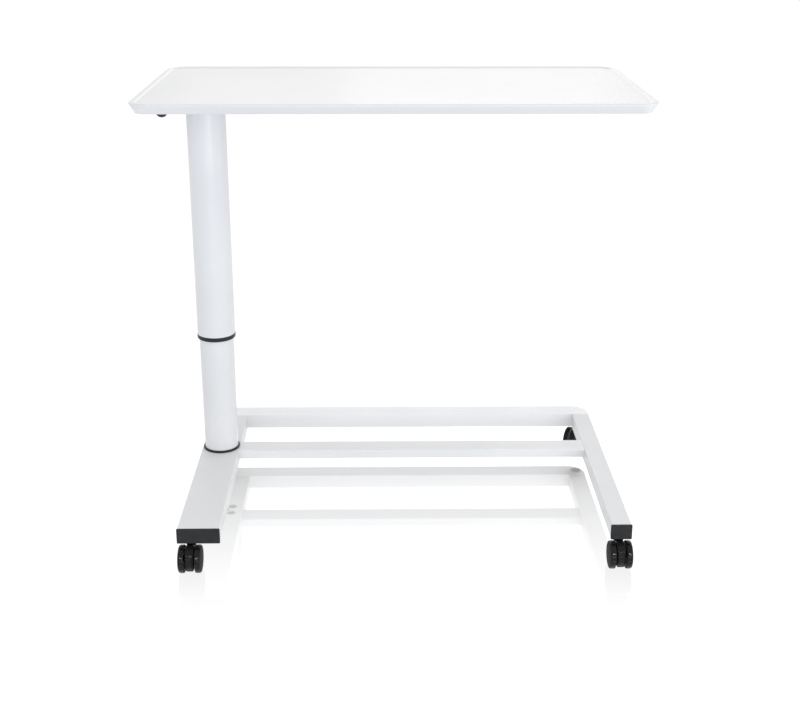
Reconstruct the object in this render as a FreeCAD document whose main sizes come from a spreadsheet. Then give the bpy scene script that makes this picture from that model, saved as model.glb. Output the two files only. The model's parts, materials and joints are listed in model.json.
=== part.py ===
import FreeCAD, Part
import math
import os
import Sketcher
from types import SimpleNamespace

# Overbed table on a wheeled base, millimetres, +Z up, floor at Z = 0.
# X runs along the table top, left to right, and Y runs from front to back.
# The origin is on the floor under the centre of the bounding box.

SIZES = [
    ("top_width", 850, "table top, left to right"),
    ("top_depth", 450, "table top, front to back"),
    ("top_height", 773, "floor to the rim of the table top"),
    ("top_thickness", 17.4, "rim to underside"),
    ("bevel_inset", 12.2, "how far the sides lean in towards the underside"),
    ("edge_band", 3, "upright band above the bevel"),
    ("edge_round", 2.2, "rounding of the upper edge"),
    ("corner_radius", 38, "plan radius of the corners of the top"),
    ("under_radius", 14, "plan radius of the corners of its underside"),
    ("rim_width", 9.5, "width of the raised rim"),
    ("rim_rise", 2, "height of the rim above the work surface"),
    ("rim_slope", 2.5, "width of the slope inside the rim"),
    ("core_thickness", 11, "board inside the top"),
    ("core_margin", 6, "edge of the underside to the board"),
    ("column_x", -329, "column axis"),
    ("column_y", 62.5, "column axis and middle of the table top"),
    ("base_bottom", 54.5, "floor to the underside of the base tubes"),
    ("leg_height", 27.5, "height of the leg tubes"),
    ("left_leg_reach", 331, "column axis to the front end of the wide leg"),
    ("right_leg_reach", 325, "column axis to the front end of the narrow leg"),
    ("base_back", 187, "column axis to the back of the rear rail"),
    ("left_leg_x", -330, "middle of the wide leg"),
    ("left_leg_width", 70, "wide leg under the column"),
    ("right_leg_width", 33.5, "narrow leg"),
    ("right_leg_outer", 398.5, "outer side of the narrow leg"),
    ("tube_wall", 2, "wall of the base tubes"),
    ("tube_edge_round", 1.2, "long edges of the base tubes"),
    ("rear_rail_depth", 41.4, "rear rail, front to back"),
    ("rear_corner_radius", 33, "outer corners of the rear rail"),
    ("mid_rail_depth", 41.4, "middle rail, front to back"),
    ("mid_rail_height", 17.3, "middle rail"),
    ("mid_rail_back", 19, "column axis to the back of the middle rail"),
    ("cap_flange", 3, "visible thickness of the leg end caps"),
    ("cap_overhang", 1.4, "how far an end cap stands out beside its leg"),
    ("cap_corner", 2, "round corners of an end cap"),
    ("cap_plug", 6, "plug of an end cap inside its leg"),
    ("cap_fit", 0.3, "play of the plug in the tube"),
    ("cap_wall", 2.5, "wall of that plug"),
    ("cap_round", 1, "rounded front edge of an end cap"),
    ("lower_radius", 31.3, "fixed inner tube of the column"),
    ("lower_top", 520, "top end of the fixed tube"),
    ("upper_radius", 34.5, "sliding outer tube of the column"),
    ("column_wall", 2, "wall of both column tubes"),
    ("groove_width", 4.2, "guide groove in the back of the fixed tube"),
    ("groove_depth", 1.2, "depth of the guide groove"),
    ("groove_bottom", 105, "lower end of the guide groove"),
    ("groove_top", 475, "upper end of the guide groove"),
    ("collar_bottom", 305.5, "underside of the collar"),
    ("collar_height", 8, "visible height of the collar"),
    ("collar_radius", 35.1, "outside of the collar"),
    ("collar_sleeve", 31.5, "length of the bushing above the collar"),
    ("collar_round", 0.8, "rounded edges of the collar"),
    ("key_low", 315.5, "lower end of the guide key"),
    ("key_high", 341, "upper end of the guide key"),
    ("slide_play", 0.05, "radial play of sliding and turning fits"),
    ("base_ring_radius", 34.2, "ring where the column meets the leg"),
    ("base_ring_height", 4, "height of that ring"),
    ("base_ring_round", 1, "rounded upper edge of that ring"),
    ("ring_play", 0.1, "play of that ring on the tube"),
    ("bush_length", 40, "guide bush at the top of the fixed tube"),
    ("bush_lip", 3, "lip of the guide bush over the tube end"),
    ("bush_mouth", 27, "opening radius of the guide bush"),
    ("foot_radius", 29.2, "plug welded in the foot of the fixed tube"),
    ("foot_height", 12, "height of that plug"),
    ("spreader_length", 100, "stiffening plate inside the left leg"),
    ("spreader_width", 60, "width of that plate"),
    ("spreader_thickness", 4, "thickness of that plate"),
    ("foot_bolt_spread", 13, "foot bolts off the column axis, both ways"),
    ("foot_bolt_radius", 3.9, "shank of a foot bolt"),
    ("foot_bolt_head", 6.4, "head radius of a foot bolt"),
    ("foot_bolt_head_height", 5.5, "head height of a foot bolt"),
    ("foot_bolt_length", 16, "shank length of a foot bolt"),
    ("bolt_hole_play", 0.2, "radial play of bolts in plain holes"),
    ("access_radius", 8, "access holes under the foot bolts"),
    ("spring_radius", 14, "barrel of the gas spring"),
    ("spring_bore", 12, "bore of the gas spring"),
    ("spring_top", 458, "upper end of the barrel"),
    ("spring_end_wall", 6, "end wall of the barrel"),
    ("spring_floor", 104, "bottom of the bore"),
    ("spring_stud_radius", 5, "threaded stud under the barrel"),
    ("spring_stud_bottom", 70, "lower end of that stud"),
    ("spring_nut_radius", 8.5, "nut on that stud, over its corners"),
    ("spring_nut_height", 5, "height of that nut"),
    ("piston_bottom", 308, "underside of the piston"),
    ("piston_height", 10, "piston"),
    ("rod_radius", 5, "piston rod"),
    ("rod_thread_radius", 4, "threaded end of the rod"),
    ("rod_bore_radius", 1.85, "bore for the release pin"),
    ("rod_bore_bottom", 688, "bottom of that bore"),
    ("rod_end", 739.6, "top of the threaded end"),
    ("rod_nut_radius", 7.5, "nut on the rod, over its corners"),
    ("rod_nut_height", 3.8, "height of that nut"),
    ("pin_radius", 1.8, "release pin"),
    ("pin_bottom", 692, "lower end of the release pin"),
    ("pin_top", 742.85, "upper end of the release pin"),
    ("pin_tip_radius", 0.8, "flat on the tip of the pin"),
    ("pin_tip_height", 1, "tapered tip of the pin"),
    ("beam_size", 20, "square tubes under the top"),
    ("beam_wall", 1.5, "wall of those tubes"),
    ("beam_spread", 47, "beam axis to the column axis"),
    ("beam_left", -400, "left end of the beams"),
    ("beam_right", 320, "right end of the beams"),
    ("plug_face", 2, "face of a beam plug"),
    ("plug_tail", 6, "plug inside the beam"),
    ("plate_thickness", 5, "head plate welded on the sliding tube"),
    ("plate_half_width", 50, "half of the head plate, left to right"),
    ("plate_half_depth", 60, "half of the head plate, front to back"),
    ("plate_corner", 8, "round corners of the head plate"),
    ("plate_bolt_x", 40, "head plate bolts off the column axis"),
    ("plate_bolt_radius", 3, "shank of a head plate bolt"),
    ("plate_bolt_head", 5, "head radius"),
    ("plate_bolt_head_height", 2.6, "head height"),
    ("plate_bolt_length", 15.4, "shank length"),
    ("plate_nut_radius", 5.8, "nut on a head plate bolt, over its corners"),
    ("plate_nut_height", 5, "nut height"),
    ("screw_first", -390, "first screw into the top"),
    ("screw_pitch", 172.5, "pitch of those screws"),
    ("screw_radius", 2.2, "shank of a screw"),
    ("screw_head", 4.5, "head radius of a screw"),
    ("screw_head_height", 2, "head height of a screw"),
    ("screw_length", 28.4, "shank length of a screw"),
    ("bracket_x", -345, "middle of the lever bracket"),
    ("bracket_half_length", 7, "half of the bracket, left to right"),
    ("bracket_half_depth", 20, "half of the bracket, front to back"),
    ("bracket_foot", 2.5, "foot thickness of the bracket"),
    ("bracket_ear", 3, "ear thickness"),
    ("bracket_gap", 5.4, "half of the gap between the ears"),
    ("bracket_top", 750, "top of the ears"),
    ("bracket_screw_y", 14, "bracket screws off the column axis"),
    ("bracket_screw_radius", 1.95, "shank of a bracket screw"),
    ("bracket_screw_head", 3.4, "head radius of a bracket screw"),
    ("bracket_screw_head_height", 2.2, "head height of a bracket screw"),
    ("bracket_screw_length", 7, "shank length of a bracket screw"),
    ("pivot_x", -344, "lever pivot"),
    ("pivot_z", 745.5, "lever pivot"),
    ("pivot_radius", 2, "pivot pin"),
    ("pivot_head", 3.2, "head radius of the pivot pin"),
    ("pivot_reach", 9.9, "pivot pin off the middle plane"),
    ("arm_half_depth", 5, "half of the lever arm, front to back"),
    ("arm_bottom", 743.05, "underside of the lever arm"),
    ("arm_top", 748, "top of the lever arm"),
    ("arm_inner", -325, "inner end of the lever arm"),
    ("arm_bend", -375, "where the arm bends down"),
    ("arm_mitre", 1.6, "outer corner of that bend beyond the inner one"),
    ("arm_tip_top", 3.4, "upper corner of the arm's tip beyond the grip axis"),
    ("arm_tip_low", 0.6, "lower corner of the tip beyond the grip axis"),
    ("arm_tip_rise", 0.6, "upper corner of the tip over the grip axis"),
    ("arm_boss", 4.5, "boss round the pivot"),
    ("grip_x", -404, "axis of the lever grip"),
    ("grip_z", 727.4, "axis of the lever grip"),
    ("grip_radius", 11.1, "lever grip"),
    ("grip_half_depth", 20, "half of the grip, front to back"),
    ("grip_round", 6, "rounding of the grip ends"),
    ("caster_left", -345.5, "stems of the left casters"),
    ("caster_right", 381.75, "stems of the right casters"),
    ("caster_setback", 24.5, "front end of a leg to its front stem"),
    ("caster_rear", 166.3, "column axis to the rear stems"),
    ("caster_trail", 19.5, "stem axis to axle"),
    ("wheel_radius", 24, "caster wheel"),
    ("wheel_inner", 9.2, "inner face of a wheel off the caster's middle"),
    ("wheel_width", 10.8, "caster wheel"),
    ("wheel_bore_depth", 8.6, "blind bore of a wheel"),
    ("wheel_dish_radius", 16, "dished part of the outer face"),
    ("wheel_dish", 1.2, "depth of that dish"),
    ("wheel_shoulder", 3, "chamfer of the tread"),
    ("axle_radius", 3, "wheel axle"),
    ("axle_half_length", 17.4, "half of the axle"),
    ("hood_radius", 21.5, "hood between the wheels"),
    ("hood_half_width", 7.8, "half width of the hood"),
    ("hood_edge_round", 3.2, "round edges of the hood"),
    ("hood_clearance", 3.2, "floor to the trimmed hood"),
    ("hood_neck_radius", 6.6, "neck of the hood"),
    ("hood_neck_bottom", 22, "lower end of the neck"),
    ("hood_top", 52, "upper end of the neck"),
    ("stem_radius", 5, "caster stem"),
    ("stem_bottom", 30, "lower end of the stem"),
    ("stem_top", 76.9, "upper end of the stem"),
    ("stem_chamfer", 1, "chamfered end of the stem"),
    ("socket_flange_radius", 11, "flange of the stem socket"),
    ("socket_flange", 2, "thickness of that flange"),
    ("socket_radius", 8, "sleeve of the stem socket"),
    ("socket_top", 78.5, "upper end of the sleeve"),
    ("socket_bore_top", 77, "end of the bore"),
]

CASTERS = [
    # name, side, end, turn of the caster about its stem in degrees
    ("front_left", "left", "front", 0),
    ("front_right", "right", "front", 0),
    ("rear_left", "left", "rear", 0),
    ("rear_right", "right", "rear", -25),
]

SCREWS_PER_BEAM = 5
OVERRUN = 1  # how far a cutting tool runs past the surface it cuts
SAME = 0.01  # lengths closer than this are the same
PARALLEL = 0.999  # cosine above which a direction counts as parallel
FRONT, BACK = -1, 1
LEFT, RIGHT = -1, 1
WAY = {
    "z": FreeCAD.Rotation(),
    "x": FreeCAD.Rotation(FreeCAD.Vector(0, 1, 0), 90),
    "-x": FreeCAD.Rotation(FreeCAD.Vector(0, 1, 0), -90),
    "y": FreeCAD.Rotation(FreeCAD.Vector(1, 0, 0), -90),
}


class Dim:
    """A size: its spreadsheet expression and its present value."""

    def __init__(self, text, value):
        self.text = text
        self.value = float(value)

    def __add__(self, other):
        other = dim(other)
        return Dim(f"({self.text} + {other.text})", self.value + other.value)

    def __sub__(self, other):
        other = dim(other)
        return Dim(f"({self.text} - {other.text})", self.value - other.value)

    def __mul__(self, other):
        other = dim(other)
        return Dim(f"({self.text} * {other.text})", self.value * other.value)

    def __truediv__(self, other):
        other = dim(other)
        return Dim(f"({self.text} / {other.text})", self.value / other.value)

    def __radd__(self, other):
        return dim(other) + self

    def __rsub__(self, other):
        return dim(other) - self

    def __rmul__(self, other):
        return dim(other) * self

    def __neg__(self):
        return dim(0) - self


def dim(value):
    return value if isinstance(value, Dim) else Dim(str(float(value)), value)


def in_order(first, second):
    """Two sizes, the smaller one first."""
    return (first, second) if first.value < second.value else (second, first)


doc = FreeCAD.newDocument("overbed_table")
nodes = []


def make_spreadsheet():
    sheet = doc.addObject("Spreadsheet::Sheet", "Sizes")
    table = SimpleNamespace()
    for row, (alias, value, note) in enumerate(SIZES, start=1):
        sheet.set(f"A{row}", alias)
        sheet.set(f"B{row}", str(value))
        sheet.set(f"C{row}", note)
        sheet.setAlias(f"B{row}", alias)
        setattr(table, alias, Dim(f"Sizes.{alias}", value))
    doc.recompute()
    return table


size = make_spreadsheet()


# Building blocks

def bind(obj, prop, value):
    obj.setExpression(prop, dim(value).text)


def place(obj, x=0, y=0, z=0, way="z", turn=0):
    """Lay the object's own Z along `way`, turn it about the upright, then move it."""
    upright = FreeCAD.Rotation(FreeCAD.Vector(0, 0, 1), turn)
    obj.Placement = FreeCAD.Placement(FreeCAD.Vector(), upright.multiply(WAY[way]))
    for axis, value in zip("xyz", (x, y, z)):
        bind(obj, f"Placement.Base.{axis}", value)
    return obj


def block(name, x, y, z):
    """A box from pairs of limits along X, Y and Z."""
    box = doc.addObject("Part::Box", name)
    for prop, (low, high) in (("Length", x), ("Width", y), ("Height", z)):
        bind(box, prop, dim(high) - low)
    return place(box, x[0], y[0], z[0])


def rod(name, radius, length, x=0, y=0, z=0, way="z"):
    cylinder = doc.addObject("Part::Cylinder", name)
    bind(cylinder, "Radius", radius)
    bind(cylinder, "Height", length)
    return place(cylinder, x, y, z, way)


def hexagon(name, radius, length, x, y, z):
    prism = doc.addObject("Part::Prism", name)
    prism.Polygon = 6
    bind(prism, "Circumradius", radius)
    bind(prism, "Height", length)
    return place(prism, x, y, z)


def fuse(name, shapes):
    result = doc.addObject("Part::MultiFuse", name)
    result.Shapes = shapes
    return result


def group(name, shapes):
    result = doc.addObject("Part::Compound", name)
    result.Links = shapes
    return result


def cut(name, base, tools):
    result = doc.addObject("Part::Cut", name)
    result.Base = base
    result.Tool = tools[0] if len(tools) == 1 else fuse(name + "_tools", tools)
    return result


def edges_where(shape, test):
    return [i for i, edge in enumerate(shape.Edges, start=1) if test(edge)]


def is_upright(edge):
    if edge.Curve.TypeId != "Part::GeomLine":
        return False
    return abs(edge.tangentAt(edge.FirstParameter).z) > PARALLEL


def fillet(name, base, radius, test):
    """Round the edges of `base` that pass the test."""
    doc.recompute()
    result = doc.addObject("Part::Fillet", name)
    result.Base = base
    value = dim(radius).value
    result.Edges = [(i, value, value) for i in edges_where(base.Shape, test)]
    return result


def node(label, obj):
    """Register a finished sub-part under its file name."""
    obj.Label = label
    nodes.append(obj)
    return obj


# PartDesign helpers

def new_body(name):
    return doc.addObject("PartDesign::Body", name)


def origin_feature(body, role):
    return next(f for f in body.Origin.OriginFeatures if f.Role == role)


def new_sketch(body, name, plane="XY_Plane", x=0, y=0, z=0):
    sketch = body.newObject("Sketcher::SketchObject", name)
    sketch.AttachmentSupport = (origin_feature(body, plane), [""])
    sketch.MapMode = "FlatFace"
    for axis, value in zip("xyz", (x, y, z)):
        bind(sketch, f"AttachmentOffset.Base.{axis}", value)
    return sketch


def sized(sketch, kind, *args):
    """Add a constraint whose last argument is a size."""
    value = dim(args[-1])
    index = sketch.addConstraint(Sketcher.Constraint(kind, *args[:-1], value.value))
    sketch.setExpression(f"Constraints[{index}]", value.text)


def draw_polygon(sketch, points):
    """A closed outline with every corner at its own X and Y sizes."""
    points = [(dim(x), dim(y)) for x, y in points]
    vectors = [FreeCAD.Vector(x.value, y.value, 0) for x, y in points]
    count = len(points)
    for i in range(count):
        sketch.addGeometry(Part.LineSegment(vectors[i], vectors[(i + 1) % count]))
    for i in range(count):
        sketch.addConstraint(Sketcher.Constraint("Coincident", i, 2, (i + 1) % count, 1))
    for i, (x, y) in enumerate(points):
        for kind, axis, value in (("DistanceX", -2, x), ("DistanceY", -1, y)):
            if value.value == 0:
                sketch.addConstraint(Sketcher.Constraint("PointOnObject", i, 1, axis))
            else:
                sized(sketch, kind, -1, 1, i, 1, value)


def draw_circle(sketch, radius, x=0, y=0):
    centre = (dim(x), dim(y))
    spot = FreeCAD.Vector(centre[0].value, centre[1].value, 0)
    index = sketch.addGeometry(Part.Circle(spot, FreeCAD.Vector(0, 0, 1), dim(radius).value))
    sized(sketch, "Radius", index, radius)
    for kind, axis, value in (("DistanceX", -2, centre[0]), ("DistanceY", -1, centre[1])):
        if value.value == 0:
            sketch.addConstraint(Sketcher.Constraint("PointOnObject", index, 3, axis))
        else:
            sized(sketch, kind, -1, 1, index, 3, value)


def draw_rounded_rectangle(sketch, width, depth, radius):
    """A rectangle centred on the sketch origin, with equal round corners."""
    half_w, half_d, r = dim(width).value / 2, dim(depth).value / 2, dim(radius).value
    quarter = math.pi / 2
    up = FreeCAD.Vector(0, 0, 1)
    signs = ((1, -1), (1, 1), (-1, 1), (-1, -1))
    for i, (sx, sy) in enumerate(signs):
        if i % 2 == 0:
            start = FreeCAD.Vector(-sx * (half_w - r), sy * half_d, 0)
            end = FreeCAD.Vector(sx * (half_w - r), sy * half_d, 0)
        else:
            start = FreeCAD.Vector(sx * half_w, -sy * (half_d - r), 0)
            end = FreeCAD.Vector(sx * half_w, sy * (half_d - r), 0)
        sketch.addGeometry(Part.LineSegment(start, end))
        centre = FreeCAD.Vector(sx * (half_w - r), sy * (half_d - r), 0)
        circle = Part.Circle(centre, up, r)
        sketch.addGeometry(Part.ArcOfCircle(circle, (i - 1) * quarter, i * quarter))
    for i in range(4):
        line, arc, following = 2 * i, 2 * i + 1, (2 * i + 2) % 8
        sketch.addConstraint(Sketcher.Constraint("Tangent", line, 2, arc, 1))
        sketch.addConstraint(Sketcher.Constraint("Tangent", arc, 2, following, 1))
        sketch.addConstraint(Sketcher.Constraint("Vertical" if i % 2 else "Horizontal", line))
        if i:
            sketch.addConstraint(Sketcher.Constraint("Equal", 1, arc))
    sketch.addConstraint(Sketcher.Constraint("Symmetric", 1, 3, 5, 3, -1, 1))
    sized(sketch, "Radius", 1, radius)
    sized(sketch, "DistanceX", 6, 1, 2, 1, width)
    sized(sketch, "DistanceY", 0, 1, 4, 1, depth)


def extrude(body, kind, name, sketch, length, both_ways=False, backwards=False):
    feature = body.newObject(f"PartDesign::{kind}", name)
    feature.Profile = sketch
    feature.Midplane = both_ways
    feature.Reversed = backwards
    bind(feature, "Length", length)


def loft(body, name, kind, first, second):
    feature = body.newObject(kind, name)
    feature.Profile = first
    feature.Sections = [second]
    feature.Ruled = True


def turned(name, points):
    """A body turned about its own Z axis from (radius, height) corners."""
    body = new_body(name)
    sketch = new_sketch(body, name + "_profile", "XZ_Plane")
    draw_polygon(sketch, points)
    feature = body.newObject("PartDesign::Revolution", name + "_turned")
    feature.Profile = sketch
    feature.ReferenceAxis = (sketch, ["V_Axis"])
    feature.Angle = 360
    return body


def round_edges(body, name, radius, test):
    """Round edges of the body's present shape."""
    doc.recompute()
    base = body.Tip
    feature = body.newObject("PartDesign::Fillet", name)
    feature.Base = (base, [f"Edge{i}" for i in edges_where(base.Shape, test)])
    bind(feature, "Radius", radius)


def circle_edge_at(radius, heights):
    """A test for full circles of one radius about Z at the given heights."""
    wanted = dim(radius).value
    levels = [dim(level).value for level in heights]

    def test(edge):
        if edge.Curve.TypeId != "Part::GeomCircle" or abs(edge.Curve.Radius - wanted) > SAME:
            return False
        return any(abs(edge.Curve.Center.z - level) < SAME for level in levels)
    return test


# Levels and lines that several sub-parts share

leg_top = size.base_bottom + size.leg_height
left_leg_front = size.column_y - size.left_leg_reach
right_leg_front = size.column_y - size.right_leg_reach
rail_front = size.column_y + size.base_back - size.rear_rail_depth
left_leg_left = size.left_leg_x - size.left_leg_width / 2
left_leg_right = size.left_leg_x + size.left_leg_width / 2
right_leg_left = size.right_leg_outer - size.right_leg_width
top_underside = size.top_height - size.top_thickness
beam_bottom = top_underside - size.beam_size
plate_bottom = beam_bottom - size.plate_thickness
upper_bottom = size.collar_bottom + size.collar_height
upper_bore = size.upper_radius - size.column_wall
guide_radius = upper_bore - size.slide_play
spreader_bottom = leg_top - size.tube_wall - size.spreader_thickness


def caster_spot(side, end):
    x = size.caster_left if side == "left" else size.caster_right
    if end == "rear":
        return x, size.column_y + size.caster_rear
    leg_front = left_leg_front if side == "left" else right_leg_front
    return x, leg_front + size.caster_setback


def foot_bolt_spots():
    step = size.foot_bolt_spread
    return [(size.column_x + i * step, size.column_y + j * step)
            for i in (-1, 1) for j in (-1, 1)]


def plate_bolt_spots():
    return [(size.column_x + i * size.plate_bolt_x, size.column_y + j * size.beam_spread)
            for i in (-1, 1) for j in (-1, 1)]


def bracket_screw_spots():
    return [(size.bracket_x, size.column_y + j * size.bracket_screw_y) for j in (-1, 1)]


def screw_columns():
    return [size.screw_first + i * size.screw_pitch for i in range(SCREWS_PER_BEAM)]


def socket_hole(name, side, end):
    """The hole in a base tube for the sleeve of a stem socket."""
    x, y = caster_spot(side, end)
    return rod(name, size.socket_radius + size.slide_play, size.tube_wall + 2 * OVERRUN,
               x, y, size.base_bottom - OVERRUN)


# The table top

def make_top_shell():
    body = new_body("top_shell_body")
    inset_width = size.top_width - 2 * size.bevel_inset
    inset_depth = size.top_depth - 2 * size.bevel_inset
    band_bottom = size.top_height - size.edge_band
    under = new_sketch(body, "top_underside", y=size.column_y, z=top_underside)
    draw_rounded_rectangle(under, inset_width, inset_depth, size.under_radius)
    widest = new_sketch(body, "top_outline", y=size.column_y, z=band_bottom)
    draw_rounded_rectangle(widest, size.top_width, size.top_depth, size.corner_radius)
    loft(body, "top_bevel", "PartDesign::AdditiveLoft", under, widest)
    band = new_sketch(body, "top_band_outline", y=size.column_y, z=band_bottom)
    draw_rounded_rectangle(band, size.top_width, size.top_depth, size.corner_radius)
    extrude(body, "Pad", "top_band", band, size.edge_band)
    top_level = size.top_height.value
    round_edges(body, "top_upper_edge", size.edge_round,
                lambda edge: all(abs(v.Z - top_level) < SAME for v in edge.Vertexes))
    sink_top = new_sketch(body, "rim_inner_edge", y=size.column_y, z=size.top_height)
    draw_rounded_rectangle(sink_top, size.top_width - 2 * size.rim_width,
                           size.top_depth - 2 * size.rim_width,
                           size.corner_radius - size.rim_width)
    foot = size.rim_width + size.rim_slope
    sink_floor = new_sketch(body, "work_surface_edge", y=size.column_y,
                            z=size.top_height - size.rim_rise)
    draw_rounded_rectangle(sink_floor, size.top_width - 2 * foot, size.top_depth - 2 * foot,
                           size.corner_radius - foot)
    loft(body, "work_surface", "PartDesign::SubtractiveLoft", sink_top, sink_floor)
    recess = new_sketch(body, "board_recess_outline", y=size.column_y, z=top_underside)
    draw_rounded_rectangle(recess, inset_width - 2 * size.core_margin,
                           inset_depth - 2 * size.core_margin,
                           size.under_radius - size.core_margin)
    extrude(body, "Pocket", "board_recess", recess, size.core_thickness, backwards=True)
    node("top_shell", body)


def make_top_core():
    body = new_body("top_core_body")
    margin = size.bevel_inset + size.core_margin + size.cap_fit
    outline = new_sketch(body, "board_outline", y=size.column_y, z=top_underside)
    draw_rounded_rectangle(outline, size.top_width - 2 * margin, size.top_depth - 2 * margin,
                           size.under_radius - size.core_margin - size.cap_fit)
    extrude(body, "Pad", "board", outline, size.core_thickness - size.cap_fit)
    holes = []
    for side in (FRONT, BACK):
        for i, x in enumerate(screw_columns()):
            y = size.column_y + side * size.beam_spread
            holes.append(rod(f"board_hole_{side + 1}_{i}", size.screw_radius + size.slide_play,
                             size.screw_length - size.beam_size + OVERRUN, x, y, top_underside))
    node("top_core", cut("top_core_drilled", body, holes))


# The frame under the top

def make_beam(name, side):
    y = size.column_y + side * size.beam_spread
    half, inner = size.beam_size / 2, size.beam_size / 2 - size.beam_wall
    span = (size.beam_left, size.beam_right)
    outside = block(name + "_outside", span, (y - half, y + half), (beam_bottom, top_underside))
    tools = [block(name + "_inside", (size.beam_left - OVERRUN, size.beam_right + OVERRUN),
                   (y - inner, y + inner),
                   (beam_bottom + size.beam_wall, top_underside - size.beam_wall))]
    for i, x in enumerate(screw_columns()):
        tools.append(rod(f"{name}_screw_hole_{i}", size.screw_radius + size.bolt_hole_play,
                         size.beam_size + 2 * OVERRUN, x, y, beam_bottom - OVERRUN))
    for i, direction in enumerate((LEFT, RIGHT)):
        tools.append(rod(f"{name}_bolt_hole_{i}", size.plate_bolt_radius + size.bolt_hole_play,
                         size.beam_wall + 2 * OVERRUN,
                         size.column_x + direction * size.plate_bolt_x, y,
                         beam_bottom - OVERRUN))
    node(name, cut(name + "_tube", outside, tools))


def make_beam_plugs():
    plugs = []
    half = size.beam_size / 2
    inner = half - size.beam_wall - size.cap_fit / 2
    middle = (beam_bottom + top_underside) / 2
    for side in (FRONT, BACK):
        y = size.column_y + side * size.beam_spread
        for end, outward in ((size.beam_left, LEFT), (size.beam_right, RIGHT)):
            name = f"beam_plug_{side + 1}_{outward + 1}"
            face = block(name + "_face", in_order(end, end + outward * size.plug_face),
                         (y - half, y + half), (beam_bottom, top_underside))
            tail = block(name + "_tail", in_order(end, end - outward * size.plug_tail),
                         (y - inner, y + inner), (middle - inner, middle + inner))
            plugs.append(fuse(name, [face, tail]))
    node("beam_plugs", group("beam_plug_group", plugs))


def make_head_plate():
    cx, cy = size.column_x, size.column_y
    body = block("head_plate_blank", (cx - size.plate_half_width, cx + size.plate_half_width),
                 (cy - size.plate_half_depth, cy + size.plate_half_depth),
                 (plate_bottom, beam_bottom))
    blank = fillet("head_plate_corners", body, size.plate_corner, is_upright)
    depth = size.plate_thickness + 2 * OVERRUN
    low = plate_bottom - OVERRUN
    tools = [rod("head_plate_rod_hole", size.rod_thread_radius + size.slide_play, depth,
                 cx, cy, low)]
    for i, (x, y) in enumerate(plate_bolt_spots()):
        tools.append(rod(f"head_plate_bolt_hole_{i}",
                         size.plate_bolt_radius + size.bolt_hole_play, depth, x, y, low))
    for i, (x, y) in enumerate(bracket_screw_spots()):
        tools.append(rod(f"head_plate_screw_hole_{i}",
                         size.bracket_screw_radius + size.slide_play, depth, x, y, low))
    node("head_plate", cut("head_plate_drilled", blank, tools))


def make_screws(label, spots, radius, length, head_radius, head_height, z, head_below=True):
    """Fasteners with a round head and an upright shank that starts at height z."""
    screws = []
    for i, (x, y) in enumerate(spots):
        name = f"{label}_{i}"
        if head_below:
            head = rod(name + "_head", head_radius, head_height, x, y, z - head_height)
            shank = rod(name + "_shank", radius, length, x, y, z)
        else:
            head = rod(name + "_head", head_radius, head_height, x, y, z)
            shank = rod(name + "_shank", radius, length, x, y, z - length)
        screws.append(fuse(name, [head, shank]))
    node(label, group(label + "_group", screws))


def make_nuts(label, spots, radius, height, hole, z):
    nuts = []
    for i, (x, y) in enumerate(spots):
        name = f"{label}_{i}"
        blank = hexagon(name + "_blank", radius, height, x, y, z)
        bore = rod(name + "_bore", hole + size.slide_play, height + 2 * OVERRUN,
                   x, y, z - OVERRUN)
        nuts.append(cut(name, blank, [bore]))
    node(label, nuts[0] if len(nuts) == 1 else group(label + "_group", nuts))


# The release lever

def make_lever_bracket():
    cy = size.column_y
    span = (size.bracket_x - size.bracket_half_length, size.bracket_x + size.bracket_half_length)
    foot_top = beam_bottom + size.bracket_foot
    foot = block("bracket_foot_plate", span,
                 (cy - size.bracket_half_depth, cy + size.bracket_half_depth),
                 (beam_bottom, foot_top))
    shapes = [foot]
    for side in (FRONT, BACK):
        inner = cy + side * size.bracket_gap
        outer = inner + side * size.bracket_ear
        shapes.append(block(f"bracket_ear_{side + 1}", span, in_order(inner, outer),
                            (beam_bottom, size.bracket_top)))
    blank = fuse("bracket_blank", shapes)
    tools = [rod("bracket_pivot_hole", size.pivot_radius + size.slide_play,
                 2 * size.bracket_half_depth, size.pivot_x, cy - size.bracket_half_depth,
                 size.pivot_z, "y")]
    for i, (x, y) in enumerate(bracket_screw_spots()):
        tools.append(rod(f"bracket_screw_hole_{i}",
                         size.bracket_screw_radius + size.bolt_hole_play,
                         size.bracket_foot + 2 * OVERRUN, x, y, beam_bottom - OVERRUN))
    node("lever_bracket", cut("lever_bracket_drilled", blank, tools))


def make_lever_pivot():
    cy = size.column_y
    ear = size.bracket_gap + size.bracket_ear
    shank = rod("lever_pivot_shank", size.pivot_radius, ear + size.pivot_reach,
                size.pivot_x, cy - ear, size.pivot_z, "y")
    head = rod("lever_pivot_head", size.pivot_head, size.pivot_reach - ear,
               size.pivot_x, cy - size.pivot_reach, size.pivot_z, "y")
    node("lever_pivot", fuse("lever_pivot_pin", [shank, head]))


def lever_arm_points():
    """Outline of the arm: level over the release pin, then bent down into the grip."""
    thickness = size.arm_top - size.arm_bottom
    return [
        (size.arm_inner, size.arm_bottom),
        (size.arm_inner, size.arm_top),
        (size.arm_bend - size.arm_mitre, size.arm_top),
        (size.grip_x - size.arm_tip_top, size.grip_z + size.arm_tip_rise),
        (size.grip_x - size.arm_tip_low, size.grip_z + size.arm_tip_rise - thickness),
        (size.arm_bend, size.arm_bottom),
    ]


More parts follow.
